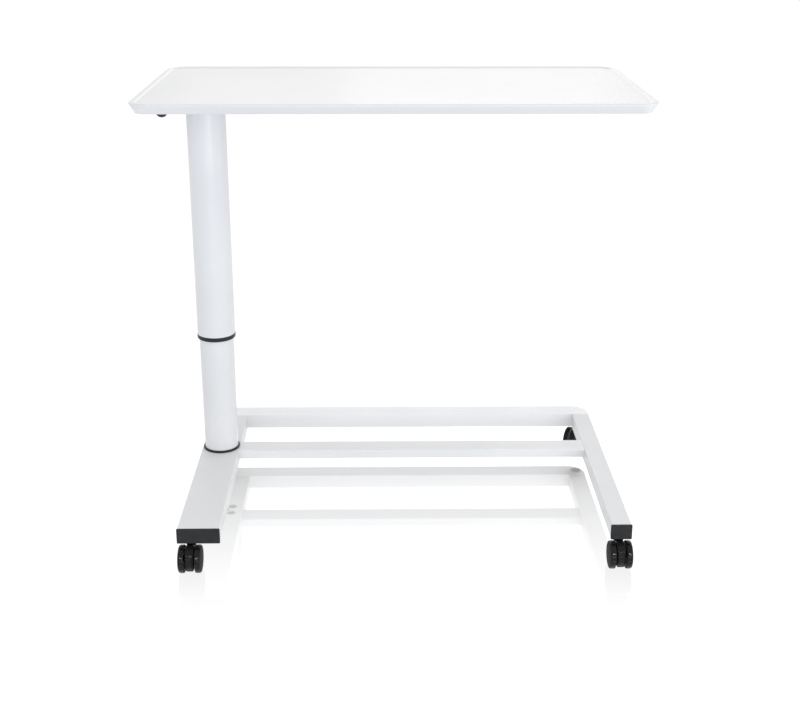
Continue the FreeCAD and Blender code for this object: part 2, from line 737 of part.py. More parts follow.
def make_lever():
    cy = size.column_y
    body = new_body("lever_arm_body")
    side = new_sketch(body, "lever_arm_outline", "XZ_Plane", z=-cy)
    draw_polygon(side, lever_arm_points())
    extrude(body, "Pad", "lever_arm_bar", side, 2 * size.arm_half_depth, both_ways=True)
    boss = new_sketch(body, "lever_boss_outline", "XZ_Plane", z=-cy)
    draw_circle(boss, size.arm_boss, size.pivot_x, size.pivot_z)
    extrude(body, "Pad", "lever_boss", boss, 2 * size.arm_half_depth, both_ways=True)
    hole = new_sketch(body, "lever_hole_outline", "XZ_Plane", z=-cy)
    draw_circle(hole, size.pivot_radius + size.slide_play, size.pivot_x, size.pivot_z)
    extrude(body, "Pocket", "lever_hole", hole, 2 * (size.arm_half_depth + OVERRUN),
            both_ways=True)
    node("lever_arm", body)
    grip_blank = rod("lever_grip_blank", size.grip_radius, 2 * size.grip_half_depth,
                     size.grip_x, cy - size.grip_half_depth, size.grip_z, "y")
    grip = fillet("lever_grip_round", grip_blank, size.grip_round,
                  lambda edge: edge.Curve.TypeId == "Part::GeomCircle")
    slot_body = new_body("lever_grip_slot_body")
    slot = new_sketch(slot_body, "lever_grip_slot_outline", "XZ_Plane", z=-cy)
    draw_polygon(slot, lever_arm_points())
    extrude(slot_body, "Pad", "lever_grip_slot", slot, 2 * size.arm_half_depth, both_ways=True)
    node("lever_grip", cut("lever_grip_slotted", grip, [slot_body]))


# The column

def make_tube(name, radius, wall, low, high):
    outside = rod(name + "_outside", radius, high - low, size.column_x, size.column_y, low)
    inside = rod(name + "_inside", radius - wall, high - low + 2 * OVERRUN,
                 size.column_x, size.column_y, low - OVERRUN)
    return cut(name + "_tube", outside, [inside])


def make_lower_tube():
    tube = make_tube("lower_tube", size.lower_radius, size.column_wall, leg_top, size.lower_top)
    half = size.groove_width / 2
    back = size.column_y + size.lower_radius
    groove = block("guide_groove", (size.column_x - half, size.column_x + half),
                   (back - size.groove_depth, back + OVERRUN),
                   (size.groove_bottom, size.groove_top))
    node("lower_tube", cut("lower_tube_grooved", tube, [groove]))


def on_column(obj, z=0):
    return place(obj, size.column_x, size.column_y, z)


def make_upper_tube():
    node("upper_tube", make_tube("upper_tube", size.upper_radius, size.column_wall,
                                 upper_bottom, plate_bottom))


def make_collar():
    """Black collar and bushing at the foot of the sliding tube, with its guide key."""
    bore = size.lower_radius + size.slide_play
    top = size.collar_height + size.collar_sleeve
    body = turned("collar_body", [
        (bore, 0),
        (size.collar_radius, 0),
        (size.collar_radius, size.collar_height),
        (guide_radius, size.collar_height),
        (guide_radius, top),
        (bore, top),
    ])
    round_edges(body, "collar_edges", size.collar_round,
                circle_edge_at(size.collar_radius, (0, size.collar_height)))
    on_column(body, size.collar_bottom)
    key_half = size.groove_width / 2 - size.ring_play
    x = (size.column_x - key_half, size.column_x + key_half)
    floor = size.lower_radius - size.groove_depth + size.ring_play
    y = (size.column_y + floor, size.column_y + guide_radius - size.ring_play)
    z = (size.key_low, size.key_high)
    slot = block("collar_key_slot", x, (y[0], size.column_y + guide_radius + OVERRUN), z)
    node("collar_bushing", cut("collar_slotted", body, [slot]))
    node("guide_key", block("guide_key_block", x, y, z))


def make_base_ring():
    body = turned("base_ring_body", [
        (size.lower_radius + size.ring_play, 0),
        (size.base_ring_radius, 0),
        (size.base_ring_radius, size.base_ring_height),
        (size.lower_radius + size.ring_play, size.base_ring_height),
    ])
    round_edges(body, "base_ring_edge", size.base_ring_round,
                circle_edge_at(size.base_ring_radius, (size.base_ring_height,)))
    node("base_ring", on_column(body, leg_top))


def make_guide_bush():
    fit = size.lower_radius + size.slide_play / 2
    body = turned("guide_bush_body", [
        (fit, -size.bush_length),
        (guide_radius, -size.bush_length),
        (guide_radius, size.bush_lip),
        (size.bush_mouth, size.bush_lip),
        (size.bush_mouth, 0),
        (fit, 0),
    ])
    node("guide_bush", on_column(body, size.lower_top))


def make_column_foot():
    cx, cy = size.column_x, size.column_y
    disc = rod("column_foot_disc", size.foot_radius, size.foot_height, cx, cy, leg_top)
    tools = [rod("column_foot_stud_hole", size.spring_stud_radius + size.slide_play,
                 size.foot_height + 2 * OVERRUN, cx, cy, leg_top - OVERRUN)]
    for i, (x, y) in enumerate(foot_bolt_spots()):
        tools.append(rod(f"column_foot_bolt_hole_{i}", size.foot_bolt_radius + size.slide_play,
                         size.foot_height, x, y, leg_top - OVERRUN))
    node("column_foot", cut("column_foot_drilled", disc, tools))


def foot_bolt_tools(name, z, depth):
    """Holes for the foot bolts and the gas spring's stud."""
    tools = [rod(name + "_stud_hole", size.spring_stud_radius + size.bolt_hole_play, depth,
                 size.column_x, size.column_y, z)]
    for i, (x, y) in enumerate(foot_bolt_spots()):
        tools.append(rod(f"{name}_bolt_hole_{i}", size.foot_bolt_radius + size.bolt_hole_play,
                         depth, x, y, z))
    return tools


def make_spreader_plate():
    cx, cy = size.column_x, size.column_y
    plate = block("spreader_blank", (cx - size.spreader_width / 2, cx + size.spreader_width / 2),
                  (cy - size.spreader_length / 2, cy + size.spreader_length / 2),
                  (spreader_bottom, leg_top - size.tube_wall))
    tools = foot_bolt_tools("spreader", spreader_bottom - OVERRUN,
                            size.spreader_thickness + 2 * OVERRUN)
    node("spreader_plate", cut("spreader_drilled", plate, tools))


def make_gas_spring():
    barrel = turned("gas_barrel_body", [
        (0, size.spring_stud_bottom),
        (size.spring_stud_radius, size.spring_stud_bottom),
        (size.spring_stud_radius, leg_top + size.foot_height),
        (size.spring_radius, leg_top + size.foot_height),
        (size.spring_radius, size.spring_top),
        (size.rod_radius + size.slide_play, size.spring_top),
        (size.rod_radius + size.slide_play, size.spring_top - size.spring_end_wall),
        (size.spring_bore, size.spring_top - size.spring_end_wall),
        (size.spring_bore, size.spring_floor),
        (0, size.spring_floor),
    ])
    node("gas_barrel", on_column(barrel))
    piston_rod = turned("gas_rod_body", [
        (0, size.piston_bottom),
        (size.spring_bore - size.slide_play, size.piston_bottom),
        (size.spring_bore - size.slide_play, size.piston_bottom + size.piston_height),
        (size.rod_radius, size.piston_bottom + size.piston_height),
        (size.rod_radius, plate_bottom),
        (size.rod_thread_radius, plate_bottom),
        (size.rod_thread_radius, size.rod_end),
        (size.rod_bore_radius, size.rod_end),
        (size.rod_bore_radius, size.rod_bore_bottom),
        (0, size.rod_bore_bottom),
    ])
    node("gas_rod", on_column(piston_rod))
    pin = turned("release_pin_body", [
        (0, size.pin_bottom),
        (size.pin_radius, size.pin_bottom),
        (size.pin_radius, size.pin_top - size.pin_tip_height),
        (size.pin_tip_radius, size.pin_top),
        (0, size.pin_top),
    ])
    node("release_pin", on_column(pin))


# The base

def hollow_bar(name, x, y, z, wall, open_along):
    """A rectangular tube, open at both ends along one axis."""
    outside = block(name + "_outside", x, y, z)
    step = {"x": (1, 0, 0), "y": (0, 1, 0), "z": (0, 0, 1)}[open_along]
    limits = []
    for is_open, (low, high) in zip(step, (x, y, z)):
        inward = -OVERRUN if is_open else wall
        limits.append((low + inward, high - inward))
    along = FreeCAD.Vector(*step)

    def is_long(edge):
        return abs(edge.tangentAt(edge.FirstParameter).dot(along)) > PARALLEL
    rounded = fillet(name + "_rounded", outside, size.tube_edge_round, is_long)
    return rounded, block(name + "_inside", *limits)


def make_left_leg():
    outside, inside = hollow_bar("left_leg", (left_leg_left, left_leg_right),
                                 (left_leg_front + size.cap_flange, rail_front),
                                 (size.base_bottom, leg_top), size.tube_wall, "y")
    tools = [inside, socket_hole("left_leg_socket_hole", "left", "front")]
    depth = size.tube_wall + 2 * OVERRUN
    tools += foot_bolt_tools("left_leg", leg_top - size.tube_wall - OVERRUN, depth)
    spots = foot_bolt_spots() + [(size.column_x, size.column_y)]
    for i, (x, y) in enumerate(spots):
        tools.append(rod(f"left_leg_access_{i}", size.access_radius, depth,
                         x, y, size.base_bottom - OVERRUN))
    node("left_leg", cut("left_leg_tube", outside, tools))


def make_right_leg():
    outside, inside = hollow_bar("right_leg", (right_leg_left, size.right_leg_outer),
                                 (right_leg_front + size.cap_flange, rail_front),
                                 (size.base_bottom, leg_top), size.tube_wall, "y")
    hole = socket_hole("right_leg_socket_hole", "right", "front")
    node("right_leg", cut("right_leg_tube", outside, [inside, hole]))


def make_mid_rail():
    back = size.column_y + size.mid_rail_back
    outside, inside = hollow_bar("mid_rail", (left_leg_right, right_leg_left),
                                 (back - size.mid_rail_depth, back),
                                 (leg_top - size.mid_rail_height, leg_top),
                                 size.tube_wall, "x")
    node("mid_rail", cut("mid_rail_tube", outside, [inside]))


def make_rear_rail():
    back = size.column_y + size.base_back
    wall = size.tube_wall
    middle = (rail_front.value + back.value) / 2

    def rear_corner(edge):
        return is_upright(edge) and edge.Vertexes[0].Y > middle
    outside = block("rear_rail_blank", (left_leg_left, size.right_leg_outer),
                    (rail_front, back), (size.base_bottom, leg_top))
    outside = fillet("rear_rail_outside", outside, size.rear_corner_radius, rear_corner)
    inside = block("rear_rail_hollow", (left_leg_left + wall, size.right_leg_outer - wall),
                   (rail_front + wall, back - wall), (size.base_bottom + wall, leg_top - wall))
    inside = fillet("rear_rail_inside", inside, size.rear_corner_radius - wall, rear_corner)
    tools = [inside]
    for side in ("left", "right"):
        tools.append(socket_hole(f"rear_rail_hole_{side}", side, "rear"))
    node("rear_rail", cut("rear_rail_tube", outside, tools))


def make_end_cap(label, x, leg_front):
    z = (size.base_bottom, leg_top)
    tube_front = leg_front + size.cap_flange
    face = block(label + "_face", (x[0] - size.cap_overhang, x[1] + size.cap_overhang),
                 (leg_front, tube_front), z)
    gap = size.tube_wall + size.cap_fit
    plug = block(label + "_plug", (x[0] + gap, x[1] - gap),
                 (tube_front, tube_front + size.cap_plug), (z[0] + gap, z[1] - gap))
    wall = gap + size.cap_wall
    hollow = block(label + "_hollow", (x[0] + wall, x[1] - wall),
                   (tube_front, tube_front + size.cap_plug + OVERRUN),
                   (z[0] + wall, z[1] - wall))
    cornered = fillet(label + "_cornered", face, size.cap_corner,
                      lambda edge: abs(edge.tangentAt(edge.FirstParameter).y) > PARALLEL)
    rounded = fillet(label + "_rounded", cornered, size.cap_round,
                     lambda edge: all(abs(v.Y - leg_front.value) < SAME for v in edge.Vertexes))
    blank = fuse(label + "_blank", [rounded, plug])
    node(label, cut(label + "_hollowed", blank, [hollow]))


# The casters

def make_socket(name, x, y):
    bore = size.stem_radius + size.slide_play
    z = size.base_bottom
    body = turned(f"socket_{name}_body", [
        (bore, -size.socket_flange),
        (size.socket_flange_radius, -size.socket_flange),
        (size.socket_flange_radius, 0),
        (size.socket_radius, 0),
        (size.socket_radius, size.socket_top - z),
        (0, size.socket_top - z),
        (0, size.socket_bore_top - z),
        (bore, size.socket_bore_top - z),
    ])
    node(f"socket_{name}", place(body, x, y, z))


def make_hood(name, x, y, turn):
    prefix = f"hood_{name}"
    half = size.hood_half_width
    disc = rod(prefix + "_disc", size.hood_radius, 2 * half, -half, -size.caster_trail,
               size.wheel_radius, "x")
    rounded = fillet(prefix + "_rounded", disc, size.hood_edge_round,
                     lambda edge: edge.Curve.TypeId == "Part::GeomCircle")
    neck = rod(prefix + "_neck", size.hood_neck_radius, size.hood_top - size.hood_neck_bottom,
               z=size.hood_neck_bottom)
    blank = fuse(prefix + "_blank", [rounded, neck])
    reach = 2 * size.hood_radius
    tools = [
        block(prefix + "_trim", (-reach, reach), (-2 * reach, reach),
              (-OVERRUN, size.hood_clearance)),
        rod(prefix + "_axle_hole", size.axle_radius + size.slide_play, 4 * half, -2 * half,
            -size.caster_trail, size.wheel_radius, "x"),
        rod(prefix + "_stem_hole", size.stem_radius + size.slide_play,
            size.hood_top - size.stem_bottom + OVERRUN, z=size.stem_bottom),
    ]
    node(prefix, place(cut(prefix + "_part", blank, tools), x, y, 0, turn=turn))


def make_stem(name, x, y, turn):
    body = turned(f"stem_{name}_body", [
        (0, size.stem_bottom),
        (size.stem_radius, size.stem_bottom),
        (size.stem_radius, size.stem_top - size.stem_chamfer),
        (size.stem_radius - size.stem_chamfer, size.stem_top),
        (0, size.stem_top),
    ])
    node(f"stem_{name}", place(body, x, y, 0, turn=turn))


def offset_spot(x, y, turn, across, back):
    """A point given across and behind a stem axis, for a caster turned about that axis."""
    turned_axis = FreeCAD.Rotation(FreeCAD.Vector(0, 0, 1), turn)
    along = turned_axis.multVec(FreeCAD.Vector(1, 0, 0))
    ahead = turned_axis.multVec(FreeCAD.Vector(0, 1, 0))
    return (x + across * along.x + back * ahead.x, y + across * along.y + back * ahead.y)


def make_axle(name, x, y, turn):
    half = size.axle_half_length
    spot = offset_spot(x, y, turn, -half, -size.caster_trail)
    axle = rod(f"axle_{name}_pin", size.axle_radius, 2 * half)
    node(f"axle_{name}", place(axle, *spot, size.wheel_radius, "x", turn))


def make_wheel(name, side, x, y, turn):
    width, radius, dish = size.wheel_width, size.wheel_radius, size.wheel_dish_radius
    bore = size.axle_radius + size.slide_play
    shoulder = size.wheel_shoulder
    body = turned(f"wheel_{name}_{side}_body", [
        (bore, 0),
        (radius - shoulder / 2, 0),
        (radius, shoulder / 2),
        (radius, width - shoulder),
        (radius - shoulder, width),
        (dish + size.wheel_dish, width),
        (dish, width - size.wheel_dish),
        (0, width - size.wheel_dish),
        (0, size.wheel_bore_depth),
        (bore, size.wheel_bore_depth),
    ])
    outward = 1 if side == "right" else -1
    spot = offset_spot(x, y, turn, outward * size.wheel_inner, -size.caster_trail)
    way = "x" if side == "right" else "-x"
    node(f"wheel_{name}_{side}", place(body, *spot, size.wheel_radius, way, turn))


def make_casters():
    for name, side, end, turn in CASTERS:
        x, y = caster_spot(side, end)
        make_socket(name, x, y)
        make_stem(name, x, y, turn)
        make_hood(name, x, y, turn)
        make_axle(name, x, y, turn)
        for wheel_side in ("left", "right"):
            make_wheel(name, wheel_side, x, y, turn)


def make_fasteners():
    cx, cy = size.column_x, size.column_y
    screw_spots = [(x, cy + side * size.beam_spread)
                   for side in (FRONT, BACK) for x in screw_columns()]
    make_screws("top_screws", screw_spots, size.screw_radius, size.screw_length,
                size.screw_head, size.screw_head_height, beam_bottom)
    make_screws("head_plate_bolts", plate_bolt_spots(), size.plate_bolt_radius,
                size.plate_bolt_length, size.plate_bolt_head, size.plate_bolt_head_height,
                plate_bottom)
    make_nuts("head_plate_nuts", plate_bolt_spots(), size.plate_nut_radius,
              size.plate_nut_height, size.plate_bolt_radius, beam_bottom + size.beam_wall)
    make_screws("bracket_screws", bracket_screw_spots(), size.bracket_screw_radius,
                size.bracket_screw_length, size.bracket_screw_head,
                size.bracket_screw_head_height, beam_bottom + size.bracket_foot,
                head_below=False)
    make_screws("foot_bolts", foot_bolt_spots(), size.foot_bolt_radius, size.foot_bolt_length,
                size.foot_bolt_head, size.foot_bolt_head_height, spreader_bottom)
    make_nuts("rod_nut", [(cx, cy)], size.rod_nut_radius, size.rod_nut_height,
              size.rod_thread_radius, beam_bottom)
    make_nuts("spring_nut", [(cx, cy)], size.spring_nut_radius, size.spring_nut_height,
              size.spring_stud_radius, spreader_bottom - size.spring_nut_height)


def build():
    make_top_shell()
    make_top_core()
    make_beam("beam_front", FRONT)
    make_beam("beam_back", BACK)
    make_beam_plugs()
    make_head_plate()
    make_lever_bracket()
    make_lever_pivot()
    make_lever()
    make_upper_tube()
    make_collar()
    make_lower_tube()
    make_base_ring()
    make_guide_bush()
    make_column_foot()
    make_spreader_plate()
    make_gas_spring()
    make_left_leg()
    make_right_leg()
    make_mid_rail()
    make_rear_rail()
    make_end_cap("end_cap_left", (left_leg_left, left_leg_right), left_leg_front)
    make_end_cap("end_cap_right", (right_leg_left, size.right_leg_outer), right_leg_front)
    make_casters()
    make_fasteners()


def check_and_export():
    doc.recompute()
    for obj in doc.Objects:
        bad = [state for state in obj.State if state in ("Invalid", "Error")]
        if bad:
            raise RuntimeError(f"{obj.Name} is {bad}")
    for obj in nodes:
        if obj.Shape.isNull() or not obj.Shape.isValid():
            raise RuntimeError(f"{obj.Label} has no valid shape")
    os.makedirs("parts", exist_ok=True)
    for obj in nodes:
        obj.Shape.exportStep(f"parts/{obj.Label}.step")


build()
check_and_export()
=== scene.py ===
import json
import math
import bmesh
import bpy
from mathutils import Matrix, Vector


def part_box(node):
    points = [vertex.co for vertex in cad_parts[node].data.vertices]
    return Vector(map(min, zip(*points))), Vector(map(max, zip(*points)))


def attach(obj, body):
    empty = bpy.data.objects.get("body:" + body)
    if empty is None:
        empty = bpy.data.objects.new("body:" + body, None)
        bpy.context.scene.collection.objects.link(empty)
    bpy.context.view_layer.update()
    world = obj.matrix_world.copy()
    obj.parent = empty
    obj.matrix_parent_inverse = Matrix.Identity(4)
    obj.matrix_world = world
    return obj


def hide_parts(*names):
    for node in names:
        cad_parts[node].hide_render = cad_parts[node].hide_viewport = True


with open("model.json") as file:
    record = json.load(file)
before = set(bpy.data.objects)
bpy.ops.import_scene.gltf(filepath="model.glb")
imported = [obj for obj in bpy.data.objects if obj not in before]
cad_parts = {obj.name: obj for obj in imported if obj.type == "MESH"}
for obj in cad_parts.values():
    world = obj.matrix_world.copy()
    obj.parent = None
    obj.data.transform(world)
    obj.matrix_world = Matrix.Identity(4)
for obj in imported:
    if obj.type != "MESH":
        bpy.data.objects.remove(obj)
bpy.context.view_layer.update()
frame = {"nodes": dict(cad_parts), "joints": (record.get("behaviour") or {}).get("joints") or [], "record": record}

MM = 0.001
CASTERS = ("front_left", "front_right", "rear_left", "rear_right")
JOINTS = {joint["name"]: joint for joint in frame["joints"]}


# Materials

# How far a surface leans to the side, as a share of its normal, where it starts to turn dull
# and where it is fully dull
SIDE_START = 0.5
SIDE_FULL = 0.8


class Nodes:
    """A material's node tree, with short calls for the nodes used here."""

    def __init__(self, name):
        self.material = bpy.data.materials.new(name)
        self.material.use_nodes = True
        self.tree = self.material.node_tree
        self.tree.nodes.clear()
        output = self.tree.nodes.new("ShaderNodeOutputMaterial")
        self.shader = self.tree.nodes.new("ShaderNodeBsdfPrincipled")
        self.link(self.shader.outputs["BSDF"], output.inputs["Surface"])
        self.texture_space = self.tree.nodes.new("ShaderNodeTexCoord").outputs
        self.coordinates = self.texture_space["Object"]

    def link(self, source, target):
        self.tree.links.new(source, target)

    def stretched(self, stretch):
        """Object coordinates scaled along each axis, for features longer one way."""
        mapping = self.tree.nodes.new("ShaderNodeMapping")
        mapping.inputs["Scale"].default_value = stretch
        self.link(self.coordinates, mapping.inputs["Vector"])
        return mapping.outputs["Vector"]

    def noise(self, size, detail=3.0, stretch=None):
        """Noise whose features are about `size` metres across."""
        node = self.tree.nodes.new("ShaderNodeTexNoise")
        node.inputs["Scale"].default_value = 1 / size
        node.inputs["Detail"].default_value = detail
        source = self.stretched(stretch) if stretch else self.coordinates
        self.link(source, node.inputs["Vector"])
        return node.outputs["Fac"]

    def ranged(self, value, low, high, start=0.3, end=0.7):
        """`low` to `high` as the value goes from `start` to `end`."""
        node = self.tree.nodes.new("ShaderNodeMapRange")
        node.inputs["From Min"].default_value = start
        node.inputs["From Max"].default_value = end
        node.inputs["To Min"].default_value = low
        node.inputs["To Max"].default_value = high
        self.link(value, node.inputs["Value"])
        return node.outputs["Result"]

    def mixed(self, factor, first, second):
        """A blend of two colours; either may be the output of another node."""
        node = self.tree.nodes.new("ShaderNodeMix")
        node.data_type = "RGBA"
        self.link(factor, node.inputs["Factor"])
        for index, value in ((6, first), (7, second)):
            if isinstance(value, bpy.types.NodeSocket):
                self.link(value, node.inputs[index])
            else:
                node.inputs[index].default_value = (*value, 1)
        return node.outputs[2]

    def bump(self, height, distance):
        """A relief of `distance` metres."""
        node = self.tree.nodes.new("ShaderNodeBump")
        node.inputs["Distance"].default_value = distance
        self.link(height, node.inputs["Height"])
        return node.outputs["Normal"]

    def duller_sides(self, roughness, side_roughness):
        """Roughness that changes to another value where the surface faces left or right."""
        split = self.tree.nodes.new("ShaderNodeSeparateXYZ")
        self.link(self.texture_space["Normal"], split.inputs["Vector"])
        sideways = self.tree.nodes.new("ShaderNodeMath")
        sideways.operation = "ABSOLUTE"
        self.link(split.outputs["X"], sideways.inputs[0])
        mix = self.tree.nodes.new("ShaderNodeMix")
        share = self.ranged(sideways.outputs["Value"], 0, 1, SIDE_START, SIDE_FULL)
        self.link(share, mix.inputs["Factor"])
        self.link(roughness, mix.inputs[2])
        mix.inputs[3].default_value = side_roughness
        return mix.outputs[0]


def shade(colour, factor):
    """A lighter or darker version of a colour."""
    return tuple(min(1.0, channel * factor) for channel in colour)


def painted(name, colour, roughness, mottle=0.02, peel=0.0016, peel_depth=0.00001,
            gloss_change=0.15):
    """Powder coat: faint mottling, orange peel and slow changes of gloss."""
    n = Nodes(name)
    slow = n.ranged(n.noise(0.12, 2), 0, 1)
    base = n.mixed(slow, shade(colour, 1 - mottle), shade(colour, 1 + mottle))
    n.link(base, n.shader.inputs["Base Color"])
    n.link(n.ranged(n.noise(0.05), roughness * (1 - gloss_change), roughness * (1 + gloss_change)),
           n.shader.inputs["Roughness"])
    n.link(n.bump(n.noise(peel, 1), peel_depth), n.shader.inputs["Normal"])
    return n.material


def moulded(name, colour, roughness, grain=0.0007, grain_depth=0.00002, wear=0.0, sheen=1.0,
            side_roughness=None):
    """Moulded plastic: fine spark-eroded grain, slow gloss changes and light scuffs."""
    n = Nodes(name)
    slow = n.ranged(n.noise(0.03, 3), 0, 1)
    base = n.mixed(slow, shade(colour, 0.93), shade(colour, 1.07))
    if wear:
        scuffs = n.ranged(n.noise(0.004, 5, (1, 1, 0.25)), 0, wear, 0.6, 0.8)
        base = n.mixed(scuffs, base, tuple(channel + 0.12 for channel in colour))
    n.link(base, n.shader.inputs["Base Color"])
    gloss = n.ranged(n.noise(0.012, 4), roughness * 0.8, roughness * 1.2)
    if side_roughness:
        gloss = n.duller_sides(gloss, side_roughness)
    n.link(gloss, n.shader.inputs["Roughness"])
    n.shader.inputs["Specular Tint"].default_value = (sheen, sheen, sheen, 1)
    n.link(n.bump(n.noise(grain, 2), grain_depth), n.shader.inputs["Normal"])
    return n.material


def metal(name, colour, roughness, stretch=(1, 1, 1), grain=0.0006, depth=0.000008):
    """Bare or plated metal with a directed grain and dull patches."""
    n = Nodes(name)
    n.shader.inputs["Metallic"].default_value = 1.0
    patches = n.ranged(n.noise(0.02, 4), 0, 1)
    n.link(n.mixed(patches, shade(colour, 0.88), shade(colour, 1.08)),
           n.shader.inputs["Base Color"])
    lines = n.noise(grain, 3, stretch)
    n.link(n.ranged(lines, roughness * 0.7, roughness * 1.3), n.shader.inputs["Roughness"])
    n.link(n.bump(lines, depth), n.shader.inputs["Normal"])
    return n.material


def laminate(name, colour):
    """Backing laminate on the underside of the board: faint fibre flecks."""
    n = Nodes(name)
    flecks = n.ranged(n.noise(0.002, 4, (0.3, 1, 1)), 0, 1, 0.45, 0.7)
    n.link(n.mixed(flecks, colour, shade(colour, 0.9)), n.shader.inputs["Base Color"])
    n.link(n.ranged(n.noise(0.03), 0.45, 0.6), n.shader.inputs["Roughness"])
    n.link(n.bump(n.noise(0.0012, 3), 0.00002), n.shader.inputs["Normal"])
    return n.material


def smooth_white(name, colour):
    """The top's plastic: almost even in colour and gloss."""
    return painted(name, colour, 0.3, mottle=0.006, peel=0.0012, peel_depth=0.000002,
                   gloss_change=0.03)


# A paler copy of the top's white for the rim's inner slope: painted light, not a colour of the plastic
RIM_PAINTED_LIGHT = smooth_white("rim_painted_light", (0.715, 0.718, 0.725))
# The mid rail's paint: paler than the legs', darker than the rear rail's, with painted light on its faces
MID_RAIL_PAINTED_LIGHT = painted("mid_rail_painted_light", (0.652, 0.658, 0.671), 0.42)
MATERIALS = {
    "top_white": smooth_white("top_white", (0.641, 0.643, 0.649)),
    "board": laminate("board", (0.70, 0.69, 0.67)),
    "powder_white": painted("powder_white", (0.62, 0.626, 0.635), 0.42),
    # The rails' paint is the legs' paint made paler: painted light on the rails' faces
    "rail_white": painted("rail_white", (0.738, 0.746, 0.762), 0.42),
    "column_white": painted("column_white", (0.63, 0.637, 0.65), 0.34),
    "cap_black": moulded("cap_black", (0.012, 0.0125, 0.014), 0.5, wear=0.05, sheen=0.5),
    "beam_plug_black": moulded("beam_plug_black", (0.02, 0.02, 0.021), 0.55),
    "collar_black": moulded("collar_black", (0.012, 0.012, 0.013), 0.42, sheen=0.6),
    "grip_black": moulded("grip_black", (0.012, 0.012, 0.013), 0.6, grain=0.0011,
                          grain_depth=0.00005),
    "beam_steel": painted("beam_steel", (0.66, 0.665, 0.67), 0.45),
    "plain_steel": metal("plain_steel", (0.56, 0.56, 0.57), 0.38, (0.1, 1, 1)),
    "fastener_steel": metal("fastener_steel", (0.62, 0.62, 0.63), 0.3),
    "rod_chrome": metal("rod_chrome", (0.75, 0.75, 0.76), 0.08, (1, 1, 0.1)),
    "barrel_black": painted("barrel_black", (0.03, 0.03, 0.03), 0.35),
    "bush_nylon": moulded("bush_nylon", (0.72, 0.71, 0.66), 0.5),
    "key_brass": metal("key_brass", (0.80, 0.62, 0.32), 0.3),
    "socket_nylon": moulded("socket_nylon", (0.02, 0.02, 0.02), 0.5),
    "stem_steel": metal("stem_steel", (0.60, 0.60, 0.61), 0.22, (1, 1, 0.2)),
    "hood_black": moulded("hood_black", (0.006, 0.006, 0.0063), 0.36, wear=0.03, sheen=0.28),
    "wheel_black": moulded("wheel_black", (0.005, 0.005, 0.0053), 0.16, grain_depth=0.000004,
                           wear=0.02, sheen=0.35, side_roughness=0.72),
}


def paint_cad_nodes():
    """Give every CAD node its slot's material, and smooth its curved faces; the mid rail then gets its own copy of
    the paint with painted light.
    """
    for part in frame["record"]["subparts"]:
        obj = frame["nodes"][part["node"]]
        obj.data.materials.clear()
        obj.data.materials.append(MATERIALS[part["material_slot"]])
        smooth(obj, 30)
    # The mid rail's own copy of the paint, with painted light
    frame["nodes"]["mid_rail"].data.materials[0] = MID_RAIL_PAINTED_LIGHT


def smooth(obj, degrees):
    """Shade smoothly, with creases at edges sharper than the given angle."""
    obj.data.polygons.foreach_set("use_smooth", [True] * len(obj.data.polygons))
    obj.data.set_sharp_from_angle(angle=math.radians(degrees))


# Camera, floor and light

# Angles in degrees: pitch below the horizon, yaw to the right, roll; the lens in millimetres
CAMERA_SPOT = Vector((-18.8, -2133.7, 1096.2)) * MM
CAMERA_PITCH = 18.86
CAMERA_YAW = 0.81
CAMERA_ROLL = 0.07
CAMERA_LENS = 56.306
CAMERA_SHIFT = -0.05


def make_camera():
    data = bpy.data.cameras.new("camera")
    data.sensor_width = 36
    data.lens = CAMERA_LENS
    data.shift_y = CAMERA_SHIFT
    data.clip_end = 200
    camera = bpy.data.objects.new("camera", data)
    bpy.context.scene.collection.objects.link(camera)
    turn = Matrix.Rotation(math.radians(-CAMERA_YAW), 4, "Z")
    tilt = Matrix.Rotation(math.radians(90 - CAMERA_PITCH), 4, "X")
    roll = Matrix.Rotation(math.radians(CAMERA_ROLL), 4, "Z")
    camera.matrix_world = Matrix.Translation(CAMERA_SPOT) @ turn @ tilt @ roll
    bpy.context.scene.camera = camera


FLOOR_HALF = 40
FLOOR_GLOW = 1.06
SHEEN_ROUGHNESS = 0.04
SHEEN_STRENGTH = 0.86
# Distances along Y between which the floor changes
SHEEN_FRONT = (-0.52, 0.34)
SHEEN_BACK = (0.28, 0.6)
TINT_REACH = (-0.75, -0.4)
FRONT_TINT = (1, 1.04, 1.13, 1)
PURE_WHITE = (1, 1, 1, 1)


def faded(tree, value, reach, low=0.0, high=1.0, interpolation="LINEAR"):
    """`low` to `high` as the value crosses the two distances in `reach`."""
    node = tree.nodes.new("ShaderNodeMapRange")
    node.interpolation_type = interpolation
    node.inputs["From Min"].default_value, node.inputs["From Max"].default_value = reach
    node.inputs["To Min"].default_value = low
    node.inputs["To Max"].default_value = high
    tree.links.new(value, node.inputs["Value"])
    return node.outputs["Result"]


def floor_glow(tree, distance):
    """A white glow that turns slightly blue in front of the table."""
    tone = tree.nodes.new("ShaderNodeMix")
    tone.data_type = "RGBA"
    tone.inputs[6].default_value = FRONT_TINT
    tone.inputs[7].default_value = PURE_WHITE
    tree.links.new(faded(tree, distance, TINT_REACH), tone.inputs["Factor"])
    glow = tree.nodes.new("ShaderNodeEmission")
    glow.inputs["Strength"].default_value = FLOOR_GLOW
    tree.links.new(tone.outputs[2], glow.inputs["Color"])
    return glow.outputs["Emission"]


